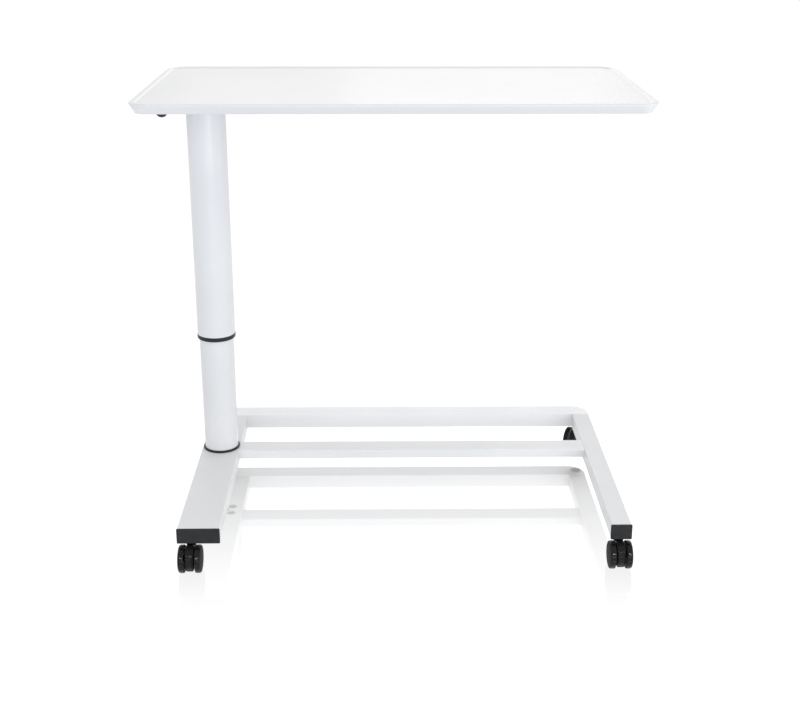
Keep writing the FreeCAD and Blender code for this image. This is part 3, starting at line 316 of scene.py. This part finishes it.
def floor_sheen(tree, distance):
    """A mirror-like sheen, and its share, which fades out to the front and the back."""
    mirror = tree.nodes.new("ShaderNodeBsdfGlossy")
    mirror.inputs["Color"].default_value = PURE_WHITE
    mirror.inputs["Roughness"].default_value = SHEEN_ROUGHNESS
    share = tree.nodes.new("ShaderNodeMath")
    share.operation = "MULTIPLY"
    front = faded(tree, distance, SHEEN_FRONT, 0, SHEEN_STRENGTH, "SMOOTHSTEP")
    back = faded(tree, distance, SHEEN_BACK, 1, 0, "SMOOTHSTEP")
    tree.links.new(front, share.inputs[0])
    tree.links.new(back, share.inputs[1])
    return mirror.outputs["BSDF"], share.outputs["Value"]


def floor_material():
    material = bpy.data.materials.new("floor_white")
    material.use_nodes = True
    tree = material.node_tree
    tree.nodes.clear()
    coordinates = tree.nodes.new("ShaderNodeTexCoord")
    split = tree.nodes.new("ShaderNodeSeparateXYZ")
    tree.links.new(coordinates.outputs["Object"], split.inputs["Vector"])
    glow = floor_glow(tree, split.outputs["Y"])
    sheen, share = floor_sheen(tree, split.outputs["Y"])
    mix = tree.nodes.new("ShaderNodeMixShader")
    tree.links.new(share, mix.inputs["Fac"])
    tree.links.new(glow, mix.inputs[1])
    tree.links.new(sheen, mix.inputs[2])
    output = tree.nodes.new("ShaderNodeOutputMaterial")
    tree.links.new(mix.outputs["Shader"], output.inputs["Surface"])
    return material


def make_floor():
    """A plain white floor, wide enough to reach the horizon."""
    corners = [(x * FLOOR_HALF, y * FLOOR_HALF, 0)
               for x, y in ((-1, -1), (1, -1), (1, 1), (-1, 1))]
    mesh = bpy.data.meshes.new("floor")
    mesh.from_pydata(corners, [], [(0, 1, 2, 3)])
    mesh.materials.append(floor_material())
    floor = bpy.data.objects.new("floor", mesh)
    bpy.context.scene.collection.objects.link(floor)


WORLD_GLOW = 1.01

COOL = (0.9, 0.96, 1.0)
NEUTRAL = (1.0, 1.0, 1.0)

# name, place, aim, width and height in metres, power in watts, colour
SOFT_BOXES = [
    ("front_box", (0.0, -3.2, 1.3), (0, 0, 0.4), (3.0, 1.6), 8.0, COOL),
    ("low_front_box", (0.4, -2.6, 0.22), (0.1, 0.1, 0.5), (2.2, 0.4), 8.0, COOL),
    ("right_front_box", (2.4, -2.4, 1.2), (0, 0, 0.4), (1.8, 1.8), 10.0, NEUTRAL),
    ("right_box", (3.0, -0.9, 1.1), (0, 0, 0.4), (1.8, 1.8), 14.0, NEUTRAL),
    ("back_box", (0.45, 2.8, 1.5), (0, 0, 0.5), (1.3, 1.6), 1.7, NEUTRAL),
    ("middle_back_box", (0.35, 2.8, 1.5), (0, 0, 0.5), (2.4, 1.6), 2.4, NEUTRAL),
    ("wide_back_box", (-0.7, 2.9, 1.3), (0, 0, 0.5), (3.4, 1.8), 4.0, NEUTRAL),
]

# Small lamps with a narrow spread, in degrees, for the glints on the front wheels
GLINTS = [
    ("left_glint", (-0.83, -3.0, 1.63), (-0.345, -0.26, 0.03), (0.3, 0.14), 0.07, NEUTRAL),
    ("right_glint", (0.97, -3.0, 1.63), (0.38, -0.26, 0.03), (0.3, 0.14), 0.07, NEUTRAL),
]
GLINT_SPREAD = 12


def add_light(data, spot, target):
    """Hang a light at `spot`, pointing at `target`."""
    light = bpy.data.objects.new(data.name, data)
    bpy.context.scene.collection.objects.link(light)
    light.location = spot
    light.rotation_mode = "QUATERNION"
    light.rotation_quaternion = (Vector(target) - Vector(spot)).to_track_quat("-Z", "Y")


def make_area_light(name, spot, target, dimensions, power, colour, spread=180):
    data = bpy.data.lights.new(name, "AREA")
    data.shape = "RECTANGLE"
    data.size, data.size_y = dimensions
    data.energy = power
    data.color = colour
    data.spread = math.radians(spread)
    add_light(data, spot, target)


# A low lamp under the top that brightens the upper end of the column
COLUMN_LAMP_SPOT = (0.2, -1.15, 0.33)
COLUMN_LAMP_AIM = (-0.33, 0.03, 0.708)
COLUMN_LAMP_POWER = 7.5
COLUMN_LAMP_CONE = 8
COLUMN_LAMP_RADIUS = 0.04


def make_column_lamp():
    data = bpy.data.lights.new("column_lamp", "SPOT")
    data.energy = COLUMN_LAMP_POWER
    data.spot_size = math.radians(COLUMN_LAMP_CONE)
    data.spot_blend = 1.0
    data.shadow_soft_size = COLUMN_LAMP_RADIUS
    add_light(data, COLUMN_LAMP_SPOT, COLUMN_LAMP_AIM)


def make_lights():
    world = bpy.data.worlds.new("studio")
    world.use_nodes = True
    sky = world.node_tree.nodes["Background"]
    sky.inputs["Color"].default_value = PURE_WHITE
    sky.inputs["Strength"].default_value = WORLD_GLOW
    bpy.context.scene.world = world
    bpy.context.scene.view_settings.view_transform = "Standard"
    for box in SOFT_BOXES:
        make_area_light(*box)
    for glint in GLINTS:
        make_area_light(*glint, spread=GLINT_SPREAD)
    make_column_lamp()


# Mesh helpers

TIP_RADIUS = 1e-7


class Skin:
    """A mesh in the making: turned and lofted shapes gathered into one piece."""

    def __init__(self, name):
        self.name = name
        self.bm = bmesh.new()

    def rings(self, rings, matrix=None, joined=False):
        """Skin over rings of equally many points. A ring of one point is a tip."""
        rows = []
        for ring in rings:
            points = [matrix @ Vector(p) if matrix else Vector(p) for p in ring]
            rows.append([self.bm.verts.new(point) for point in points])
        pairs = list(zip(rows, rows[1:]))
        if joined:
            pairs.append((rows[-1], rows[0]))
        for low, high in pairs:
            self.bridge(low, high)
        if not joined:
            for end in (rows[0], rows[-1]):
                if len(end) > 2:
                    self.bm.faces.new(end)

    def bridge(self, low, high):
        """Faces between two neighbouring rings, or between a ring and a tip."""
        count = max(len(low), len(high))
        for i in range(count):
            j = (i + 1) % count
            if len(low) == 1:
                corners = (low[0], high[j], high[i])
            elif len(high) == 1:
                corners = (low[i], low[j], high[0])
            else:
                corners = (low[i], low[j], high[j], high[i])
            self.bm.faces.new(corners)

    def turned(self, profile, matrix=None, steps=72, joined=False):
        """Turn (radius, height) pairs about Z."""
        rings = []
        for radius, height in profile:
            if radius < TIP_RADIUS:
                rings.append([(0, 0, height)])
            else:
                rings.append(circle(radius, height, steps))
        self.rings(rings, matrix, joined)

    def finish(self, body, slot, nodes, degrees=35):
        """Make the piece, which rides on a body and stands in for CAD nodes."""
        bmesh.ops.recalc_face_normals(self.bm, faces=self.bm.faces)
        mesh = bpy.data.meshes.new(self.name)
        self.bm.to_mesh(mesh)
        self.bm.free()
        obj = bpy.data.objects.new(self.name, mesh)
        bpy.context.scene.collection.objects.link(obj)
        mesh.materials.append(MATERIALS[slot])
        smooth(obj, degrees)
        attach(obj, body)
        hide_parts(*nodes)
        return obj


def circle(radius, height, steps=72):
    """Points round the Z axis."""
    turn = 2 * math.pi / steps
    return [(radius * math.cos(i * turn), radius * math.sin(i * turn), height)
            for i in range(steps)]


def rounded_outline(centre, half, radius, level, steps=10):
    """Points round a rectangle with round corners, as (a, b, level)."""
    points = []
    for quarter, (sx, sy) in enumerate(((1, -1), (1, 1), (-1, 1), (-1, -1))):
        cx = centre[0] + sx * (half[0] - radius)
        cy = centre[1] + sy * (half[1] - radius)
        for step in range(steps + 1):
            angle = math.radians(90 * (quarter - 1) + 90 * step / steps)
            points.append((cx + radius * math.cos(angle), cy + radius * math.sin(angle), level))
    return points


def arc(centre, radius, start, end, steps):
    """Points (a, b) on an arc, angles in degrees."""
    result = []
    for step in range(steps + 1):
        angle = math.radians(start + (end - start) * step / steps)
        result.append((centre[0] + radius * math.cos(angle),
                       centre[1] + radius * math.sin(angle)))
    return result


# The most of an edge that one softened corner may take
EDGE_SHARE = 0.45


def softened(corners, radius, steps=4):
    """An open outline in millimetres with its inner corners rounded, returned in metres."""
    points = [Vector(corner) for corner in corners]
    result = [points[0]]
    for before, here, after in zip(points, points[1:], points[2:]):
        reach_in = min(radius, (before - here).length * EDGE_SHARE)
        reach_out = min(radius, (after - here).length * EDGE_SHARE)
        start = here + (before - here).normalized() * reach_in
        end = here + (after - here).normalized() * reach_out
        for step in range(steps + 1):
            t = step / steps
            result.append(start * (1 - t) ** 2 + here * (2 * t * (1 - t)) + end * t ** 2)
    result.append(points[-1])
    return [(point.x * MM, point.y * MM) for point in result]


def axis_frame(spot, axis):
    """A frame at `spot` whose Z runs along `axis` and whose Y leans upwards."""
    z = Vector(axis).normalized()
    x = Vector((0, 0, 1)).cross(z)
    x = x.normalized() if x.length > 0.01 else Vector((1, 0, 0))
    y = z.cross(x)
    return Matrix.Translation(spot) @ Matrix((x, y, z)).transposed().to_4x4()


def islands(node):
    """The low and high corners of each separate solid in a CAD node."""
    bm = bmesh.new()
    bm.from_mesh(frame["nodes"][node].data)
    bmesh.ops.remove_doubles(bm, verts=bm.verts, dist=0.02 * MM)
    left = set(bm.verts)
    found = []
    while left:
        todo = [left.pop()]
        members = []
        while todo:
            vert = todo.pop()
            members.append(vert.co.copy())
            for edge in vert.link_edges:
                other = edge.other_vert(vert)
                if other in left:
                    left.remove(other)
                    todo.append(other)
        low = Vector([min(co[i] for co in members) for i in range(3)])
        high = Vector([max(co[i] for co in members) for i in range(3)])
        found.append((low, high))
    bm.free()
    return sorted(found, key=lambda pair: tuple(round(value, 4) for value in pair[0]))


# The table top

CORNER_RADIUS = 38 * MM
UNDER_RADIUS = 14 * MM
BEVEL_INSET = 12.2 * MM
EDGE_BAND = 3 * MM
EDGE_ROUND = 2.2 * MM
RIM_WIDTH = 9.5 * MM
RIM_SLOPE = 2.5 * MM
RIM_RISE = 2 * MM
# Height above the rim's floor where the slope's painted light begins
RIM_PAINTED_LIGHT_START = 0.1 * MM
# A face of the slope leans inward by more than this, as its normal times its distance out
SLOPE_LEAN = 10 * MM
CORE_MARGIN = 6 * MM
CORE_THICKNESS = 11 * MM


def top_profile(low, high):
    """(inset, height, corner radius) from the board recess round the outside to the rim."""
    soft = 0.8 * MM
    band = high - EDGE_BAND
    margin = BEVEL_INSET + CORE_MARGIN
    under = UNDER_RADIUS
    profile = [
        (margin, low + CORE_THICKNESS, under),
        (margin, low + soft / 2, under),
        (margin - soft / 2, low, under),
        (BEVEL_INSET + soft, low, under),
        (BEVEL_INSET + soft / 4, low + soft / 4, under),
        (BEVEL_INSET - soft, low + soft, under),
        (1.2 * MM, band - 1.4 * MM, CORNER_RADIUS - 3 * MM),
        (0.3 * MM, band - 0.4 * MM, CORNER_RADIUS - 0.5 * MM),
        (0, band + 0.3 * MM, CORNER_RADIUS),
    ]
    for inset, height in arc((EDGE_ROUND, high - EDGE_ROUND), EDGE_ROUND, 180, 90, 8):
        profile.append((inset, height, CORNER_RADIUS - inset))
    foot = RIM_WIDTH + RIM_SLOPE
    floor = high - RIM_RISE
    for inset, height in (
        (RIM_WIDTH - 0.6 * MM, high),
        (RIM_WIDTH, high - 0.12 * MM),
        (RIM_WIDTH + 0.5 * MM, high - 0.45 * MM),
        (foot - 0.6 * MM, floor + 0.4 * MM),
        (foot, floor + 0.08 * MM),
        (foot + 0.9 * MM, floor),
    ):
        profile.append((inset, height, CORNER_RADIUS - inset))
    return profile


def make_top():
    """The moulded shell: leaning sides, a rounded edge, a low rim and a hollow for the board."""
    low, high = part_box("top_shell")
    centre = (low + high) / 2
    half = (high - low) / 2
    rings = []
    for inset, z, radius in top_profile(low.z, high.z):
        rings.append(rounded_outline(centre, (half.x - inset, half.y - inset), radius, z))
    skin = Skin("top_shell_skin")
    skin.rings(rings)
    top = skin.finish("lift", "top_white", ["top_shell"], 20)
    paint_rim_light(top.data, centre, high.z - RIM_RISE + RIM_PAINTED_LIGHT_START)


def paint_rim_light(mesh, centre, level):
    """Painted light: the rim's inner slope gets a paler copy of the top's white, standing in for the light the
    slope catches.
    """
    mesh.materials.append(RIM_PAINTED_LIGHT)
    for polygon in mesh.polygons:
        outward = polygon.normal.xy.dot((polygon.center - centre).xy)
        if polygon.center.z > level and outward < -SLOPE_LEAN:
            polygon.material_index = 1


# The column's black rings

# Millimetres: height of the collar's lip, radius of its sleeve inside the upper tube, play on
# the lower tube
COLLAR_LIP = 8
SLEEVE = 32.4
BORE_PLAY = 0.05
RING_SOFTNESS = 0.5
RING_STEPS = 128


def make_column_rings():
    """The collar at the foot of the upper tube and the ring round the foot of the lower one."""
    low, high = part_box("collar_bushing")
    centre = (low + high) / 2
    radius = (high.x - low.x) / 2 / MM
    top = (high.z - low.z) / MM
    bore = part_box("lower_tube")[1].x / MM - centre.x / MM + BORE_PLAY
    spot = Matrix.Translation((centre.x, centre.y, low.z))
    collar = Skin("collar_skin")
    section = [(bore, 3), (bore, 0.5), (bore + 0.5, 0), (radius - 0.9, 0), (radius, 0.9),
               (radius, COLLAR_LIP - 1.1), (radius - 0.7, COLLAR_LIP), (SLEEVE, COLLAR_LIP),
               (SLEEVE, top - 2.5), (SLEEVE - 0.4, top), (bore, top), (bore, 20)]
    collar.turned(softened(section, RING_SOFTNESS), spot, RING_STEPS, joined=True)
    collar.finish("lift", "collar_black", ["collar_bushing"])
    low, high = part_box("base_ring")
    radius = (high.x - low.x) / 2 / MM
    ring = Skin("base_ring_skin")
    section = [(bore, 2), (bore, 0.2), (radius, 0), (radius, 2.8), (radius - 1.1, 4),
               (bore + 0.4, 4), (bore, 3.6)]
    spot = Matrix.Translation((centre.x, centre.y, low.z))
    ring.turned(softened(section, RING_SOFTNESS), spot, RING_STEPS, joined=True)
    ring.finish("base", "collar_black", ["base_ring"])


# End caps and lever grip

# Millimetres: how far the face stands out beside the leg, how far in the plug starts, and how
# thick the face is
CAP_OVERHANG = 1.4
CAP_GAP = 2.3
CAP_FACE = 3
CAP_CORNER = 1.9


def make_end_cap(side):
    """The cap's face stands out beside the leg; behind it the plug is narrower."""
    node = f"end_cap_{side}"
    low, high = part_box(node)
    centre = ((low.x + high.x) / 2, (low.z + high.z) / 2)
    half = ((high.x - low.x) / 2, (high.z - low.z) / 2)
    front, joint, back = low.y / MM, low.y / MM + CAP_FACE, high.y / MM
    section = [(4.9, back - 4), (4.9, back - 0.4), (4.5, back), (2.7, back),
               (CAP_GAP, back - 0.4), (CAP_GAP, joint), (0.1, joint), (0, joint - 0.3),
               (0, front + 1.5), (0.5, front + 0.6), (1.6, front + 0.12), (3.4, front + 0.05),
               (12, front)]
    rings = []
    for inset, y in softened(section, 0.6):
        behind = y > (joint - 0.05) * MM
        extra = CAP_OVERHANG * min(1, inset / MM / CAP_GAP) * MM if behind else 0
        room = min(half) - inset - extra
        corner = min(room * 0.9, max(0.6 * MM, CAP_CORNER * MM - inset * 0.3))
        outline = rounded_outline(centre, (half[0] - inset - extra, half[1] - inset), corner, y, 6)
        rings.append([(a, level, b) for a, b, level in outline])
    skin = Skin(node + "_skin")
    skin.rings(rings)
    skin.finish("base", "cap_black", [node])


GROOVE_COUNT = 5
GROOVE_SPACING = 5
GROOVE_DEPTH = 0.6


def make_lever_grip():
    """A round cross grip with grooves about its middle."""
    low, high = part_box("lever_grip")
    centre = (low + high) / 2
    length = (high.y - low.y) / MM
    radius = (high.z - low.z) / 2 / MM
    grooves = []
    for i in range(GROOVE_COUNT):
        middle = length / 2 + (i - GROOVE_COUNT // 2) * GROOVE_SPACING
        for offset, depth in ((-0.9, 0), (-0.4, GROOVE_DEPTH), (0.4, GROOVE_DEPTH), (0.9, 0)):
            grooves.append((radius - depth, middle + offset))
    section = [(0, 0), (radius - 6, 0), (radius - 1.6, 1.6), (radius, 6), *grooves,
               (radius, length - 6), (radius - 1.6, length - 1.6), (radius - 6, length),
               (0, length)]
    skin = Skin("lever_grip_skin")
    matrix = axis_frame((centre.x, low.y, centre.z), (0, 1, 0))
    skin.turned(softened(section, 1.2), matrix, 72)
    skin.finish("lever", "grip_black", ["lever_grip"])


# Casters

# Millimetres
WHEEL_RADIUS = 24
HOOD_RADIUS = 21.5
HOOD_CROWN = 2.2
HOOD_HALF = 7.8
HOOD_EDGE = 3.2
HOOD_EDGE_STEPS = 6
HOOD_POINTS = 200
HOOD_CLEARANCE = 3.2
NECK_RADIUS = 6.6
NECK_TOP = 52
TRAIL = 19.5
# The hood narrows to its neck above the first height, over the second
SHOULDER = 47.5
SHOULDER_BLEND = 2.5
NECK_SLIM = 0.4
# It also narrows towards the floor below the first height, over the second, by the third
TAPER_TOP = 13
TAPER_BLEND = 10
TAPER = 2.4
# The panel pressed into its front: depth, half width, and where it runs, in degrees
PANEL_DEPTH = 0.7
PANEL_HALF = 4.6
PANEL_LOW = -48
PANEL_HIGH = 34


def wheel_section():
    """Half section of a wheel in millimetres: (radius, distance out from its inner face)."""
    hub = [(0, 8.6), (3.05, 8.6), (3.05, 0), (6, 0)]
    inner_dish = [(7, 2.8), (18.4, 2.8), (19.4, 0), (23, 0)]
    tread = [(WHEEL_RADIUS, 1), (WHEEL_RADIUS, 6.2), (23.7, 7.9), (22.6, 9.4), (20.6, 10.1)]
    outer_groove = [(17.6, 10.35), (17.2, 9.8), (16.5, 9.8), (16.1, 10.4)]
    cap_groove = [(7.4, 10.75), (7.1, 10.45), (6.7, 10.45), (6.4, 10.8), (0, 10.8)]
    return hub + inner_dish + tread + outer_groove + cap_groove


def make_wheel(caster, side):
    """A dished wheel that stands where its CAD node stands along the axle."""
    joint = JOINTS[f"wheel_{caster}_{side}_spin"]
    node = f"wheel_{caster}_{side}"
    outward = Vector(joint["axis"]) * (1 if side == "right" else -1)
    spot = Vector(joint["pos_m"])
    inner = min((vert.co - spot).dot(outward) for vert in frame["nodes"][node].data.vertices)
    skin = Skin(node + "_skin")
    matrix = axis_frame(spot + outward * inner, outward)
    skin.turned(softened(wheel_section(), 0.5, 3), matrix, 96)
    skin.finish(f"wheel_{caster}_{side}", "wheel_black", [node])


def hood_outline():
    """Side view of a hood in millimetres, (behind the stem, height), going round once."""
    centre = (-TRAIL, WHEEL_RADIUS)
    low = []
    for a, b in arc(centre, 1, -22, -305, 84):
        rise = b - centre[1]
        radius = HOOD_RADIUS + HOOD_CROWN * max(0, rise) ** 3
        low.append((centre[0] + (a - centre[0]) * radius, centre[1] + rise * radius))
    neck = [low[-1], (-NECK_RADIUS, 43.6), (-NECK_RADIUS, NECK_TOP), (NECK_RADIUS, NECK_TOP),
            (NECK_RADIUS, 27), low[0]]
    joined = [(a / MM, b / MM) for a, b in softened(neck, 3.0, 6)]
    points = low[:-1] + joined[:-1]
    return [Vector((a, max(b, HOOD_CLEARANCE))) for a, b in points]


def even(points, count):
    """The same closed outline with evenly spaced points."""
    ends = points[1:] + points[:1]
    lengths = [(b - a).length for a, b in zip(points, ends)]
    step = sum(lengths) / count
    result = []
    i, passed = 0, 0.0
    for k in range(count):
        while passed + lengths[i] < k * step:
            passed += lengths[i]
            i += 1
        t = (k * step - passed) / lengths[i] if lengths[i] else 0
        result.append(points[i].lerp(ends[i], t))
    return result


def hood_half_width(height):
    """The hood narrows to its neck at the top and a little towards the floor."""
    t = min(1, max(0, (height - SHOULDER) / SHOULDER_BLEND))
    t = t * t * (3 - 2 * t)
    low = min(1, max(0, (TAPER_TOP - height) / TAPER_BLEND))
    return HOOD_HALF - TAPER * low * low + (NECK_RADIUS - NECK_SLIM - HOOD_HALF) * t


def hood_dent(point, across):
    """Depth of the shallow panel pressed into the front of the hood."""
    angle = math.degrees(math.atan2(point.y - WHEEL_RADIUS, -(point.x + TRAIL)))
    inside = PANEL_LOW < angle < PANEL_HIGH and abs(across) < PANEL_HALF
    return PANEL_DEPTH if inside else 0.0


def inward_normals(outline):
    """At each point of a closed outline, the direction towards its inside."""
    count = len(outline)
    normals = []
    for i in range(count):
        along = outline[(i + 1) % count] - outline[i - 1]
        normals.append(Vector((along.y, -along.x)).normalized())
    centre = sum(outline, Vector((0, 0))) / count
    if normals[0].dot(centre - outline[0]) < 0:
        normals = [-normal for normal in normals]
    return normals


def hood_rows():
    """(share of the half width, inset) from one side of the hood to the other."""
    half = []
    for step in range(HOOD_EDGE_STEPS, -1, -1):
        angle = math.radians(90 * step / HOOD_EDGE_STEPS)
        half.append((1 - HOOD_EDGE / HOOD_HALF * (1 - math.sin(angle)),
                     HOOD_EDGE * (1 - math.cos(angle))))
    # The two close rows are the side walls of the panel
    half += [(0.62, 0.0), (0.575, 0.0), (0.3, 0.0), (0.0, 0.0)]
    return half + [(-across, inset) for across, inset in reversed(half[:-1])]


def make_hood(caster):
    """The hood over the wheels: rounded edges, a pressed panel and a neck round the stem."""
    joint = JOINTS[f"swivel_{caster}_turn"]
    spot = Vector(joint["pos_m"])
    axle = Vector(JOINTS[f"wheel_{caster}_right_spin"]["axis"])
    place = Matrix.Translation((spot.x, spot.y, 0)) @ Matrix.Rotation(
        math.atan2(axle.y, axle.x), 4, "Z")
    outline = even(hood_outline(), HOOD_POINTS)
    normals = inward_normals(outline)
    rings = []
    for across, inset in hood_rows():
        ring = []
        for point, normal in zip(outline, normals):
            width = hood_half_width(point.y)
            depth = inset + hood_dent(point, across * HOOD_HALF)
            moved = point + normal * depth
            ring.append((across * width * MM, moved.x * MM, moved.y * MM))
        rings.append(ring)
    skin = Skin(f"hood_{caster}_skin")
    skin.rings(rings, place)
    skin.finish(f"swivel_{caster}", "hood_black", [f"hood_{caster}"], 30)


# Fasteners

def plus_radius(angle, reach, half):
    """Distance from the middle of a cross recess to its edge."""
    c, s = abs(math.cos(angle)), abs(math.sin(angle))
    if s * reach <= c * half:
        return reach / c
    if c * reach <= s * half:
        return reach / s
    return half / s if c > s else half / c


def hexagon_radius(angle, flat):
    """Distance from the middle of a hexagon to its edge."""
    part = math.radians(60)
    return flat / math.cos((angle + part / 2) % part - part / 2)


def shaped_ring(radius_at, height, steps=72):
    """Points round the Z axis at a distance that depends on the angle."""
    ring = []
    for i in range(steps):
        angle = 2 * math.pi * i / steps
        radius = radius_at(angle)
        ring.append((radius * math.cos(angle), radius * math.sin(angle), height))
    return ring


THREAD_PITCH = 0.8 * MM
THREAD_CORE = 0.86
THREAD_TIP = 0.7


def add_screw(skin, spot, direction, shank, length, head, height, recess):
    """A screw whose head lies at `spot` and whose shank runs along `direction`."""
    matrix = axis_frame(spot, direction)
    rings = []
    if recess == "cross":
        rings.append(shaped_ring(lambda a: plus_radius(a, head * 0.3, head * 0.1),
                                 height * 0.7))
        rings.append(shaped_ring(lambda a: plus_radius(a, head * 0.5, head * 0.13),
                                 height * 0.08))
        dome = [(0.66, 0.06), (0.86, 0.22), (0.97, 0.5), (1.0, 0.75), (1.0, 1.0)]
    else:
        rings.append(shaped_ring(lambda a: hexagon_radius(a, head * 0.42), height * 0.6))
        rings.append(shaped_ring(lambda a: hexagon_radius(a, head * 0.44), height * 0.05))
        dome = [(0.6, 0.0), (0.88, 0.0), (0.98, 0.08), (1.0, 0.2), (1.0, 0.94), (0.96, 1.0)]
    for share, drop in dome:
        rings.append(circle(head * share, height * drop))
    rings.append(circle(shank, height))
    z = height + THREAD_PITCH
    while z < height + length - 2 * THREAD_PITCH:
        rings.append(circle(shank, z))
        rings.append(circle(shank * THREAD_CORE, z + THREAD_PITCH / 2))
        z += THREAD_PITCH
    rings.append(circle(shank * THREAD_TIP, height + length))
    skin.rings(rings, matrix)


# Node, body, shank radius, head radius and head height in millimetres, recess, and where the
# head is
FASTENERS = [
    ("top_screws", "lift", 2.2, 4.5, 2.0, "cross", "below"),
    ("head_plate_bolts", "lift", 3.0, 5.0, 2.6, "socket", "below"),
    ("bracket_screws", "lift", 1.95, 3.4, 2.2, "cross", "above"),
    ("foot_bolts", "base", 3.9, 6.4, 5.5, "socket", "below"),
]


def make_fasteners():
    """A detailed screw in the place of each plain one."""
    for node, body, shank, head, height, recess, side in FASTENERS:
        skin = Skin(node + "_skin")
        for low, high in islands(node):
            x, y = (low.x + high.x) / 2, (low.y + high.y) / 2
            length = high.z - low.z - height * MM
            if side == "below":
                spot, direction = (x, y, low.z), (0, 0, 1)
            else:
                spot, direction = (x, y, high.z), (0, 0, -1)
            add_screw(skin, spot, direction, shank * MM, length, head * MM, height * MM, recess)
        skin.finish(body, "fastener_steel", [node], 30)


# Widths in millimetres of the broken edges on the plain steel parts
EDGED_NODES = {
    "head_plate": 0.5, "beam_front": 0.8, "beam_back": 0.8, "lever_bracket": 0.4,
    "lever_arm": 0.4, "head_plate_nuts": 0.4, "rod_nut": 0.4, "spring_nut": 0.4,
    "spreader_plate": 0.4, "beam_plugs": 0.5, "guide_key": 0.3,
}


def break_edges():
    """Small bevels along the sharp edges, after welding the mesh's split corners."""
    for node, width in EDGED_NODES.items():
        obj = frame["nodes"][node]
        weld = obj.modifiers.new("weld", "WELD")
        weld.merge_threshold = 0.01 * MM
        bevel = obj.modifiers.new("bevel", "BEVEL")
        bevel.limit_method = "ANGLE"
        bevel.angle_limit = math.radians(50)
        bevel.width = width * MM
        bevel.segments = 2
        bevel.harden_normals = False


def keep_out_of_sheen():
    """The rear casters and the bolts under the wide leg don't show in the floor's sheen."""
    hidden = [bpy.data.objects["foot_bolts_skin"]]
    for caster in ("rear_left", "rear_right"):
        skins = (f"hood_{caster}_skin", f"wheel_{caster}_left_skin", f"wheel_{caster}_right_skin")
        hidden += [bpy.data.objects[name] for name in skins]
        hidden += [frame["nodes"][f"{part}_{caster}"] for part in ("stem", "axle", "socket")]
    for piece in hidden:
        piece.visible_glossy = False


paint_cad_nodes()
make_top()
make_column_rings()
for side in ("left", "right"):
    make_end_cap(side)
make_lever_grip()
for caster in CASTERS:
    make_hood(caster)
    for side in ("left", "right"):
        make_wheel(caster, side)
make_fasteners()
break_edges()
keep_out_of_sheen()
make_camera()
make_floor()
make_lights()
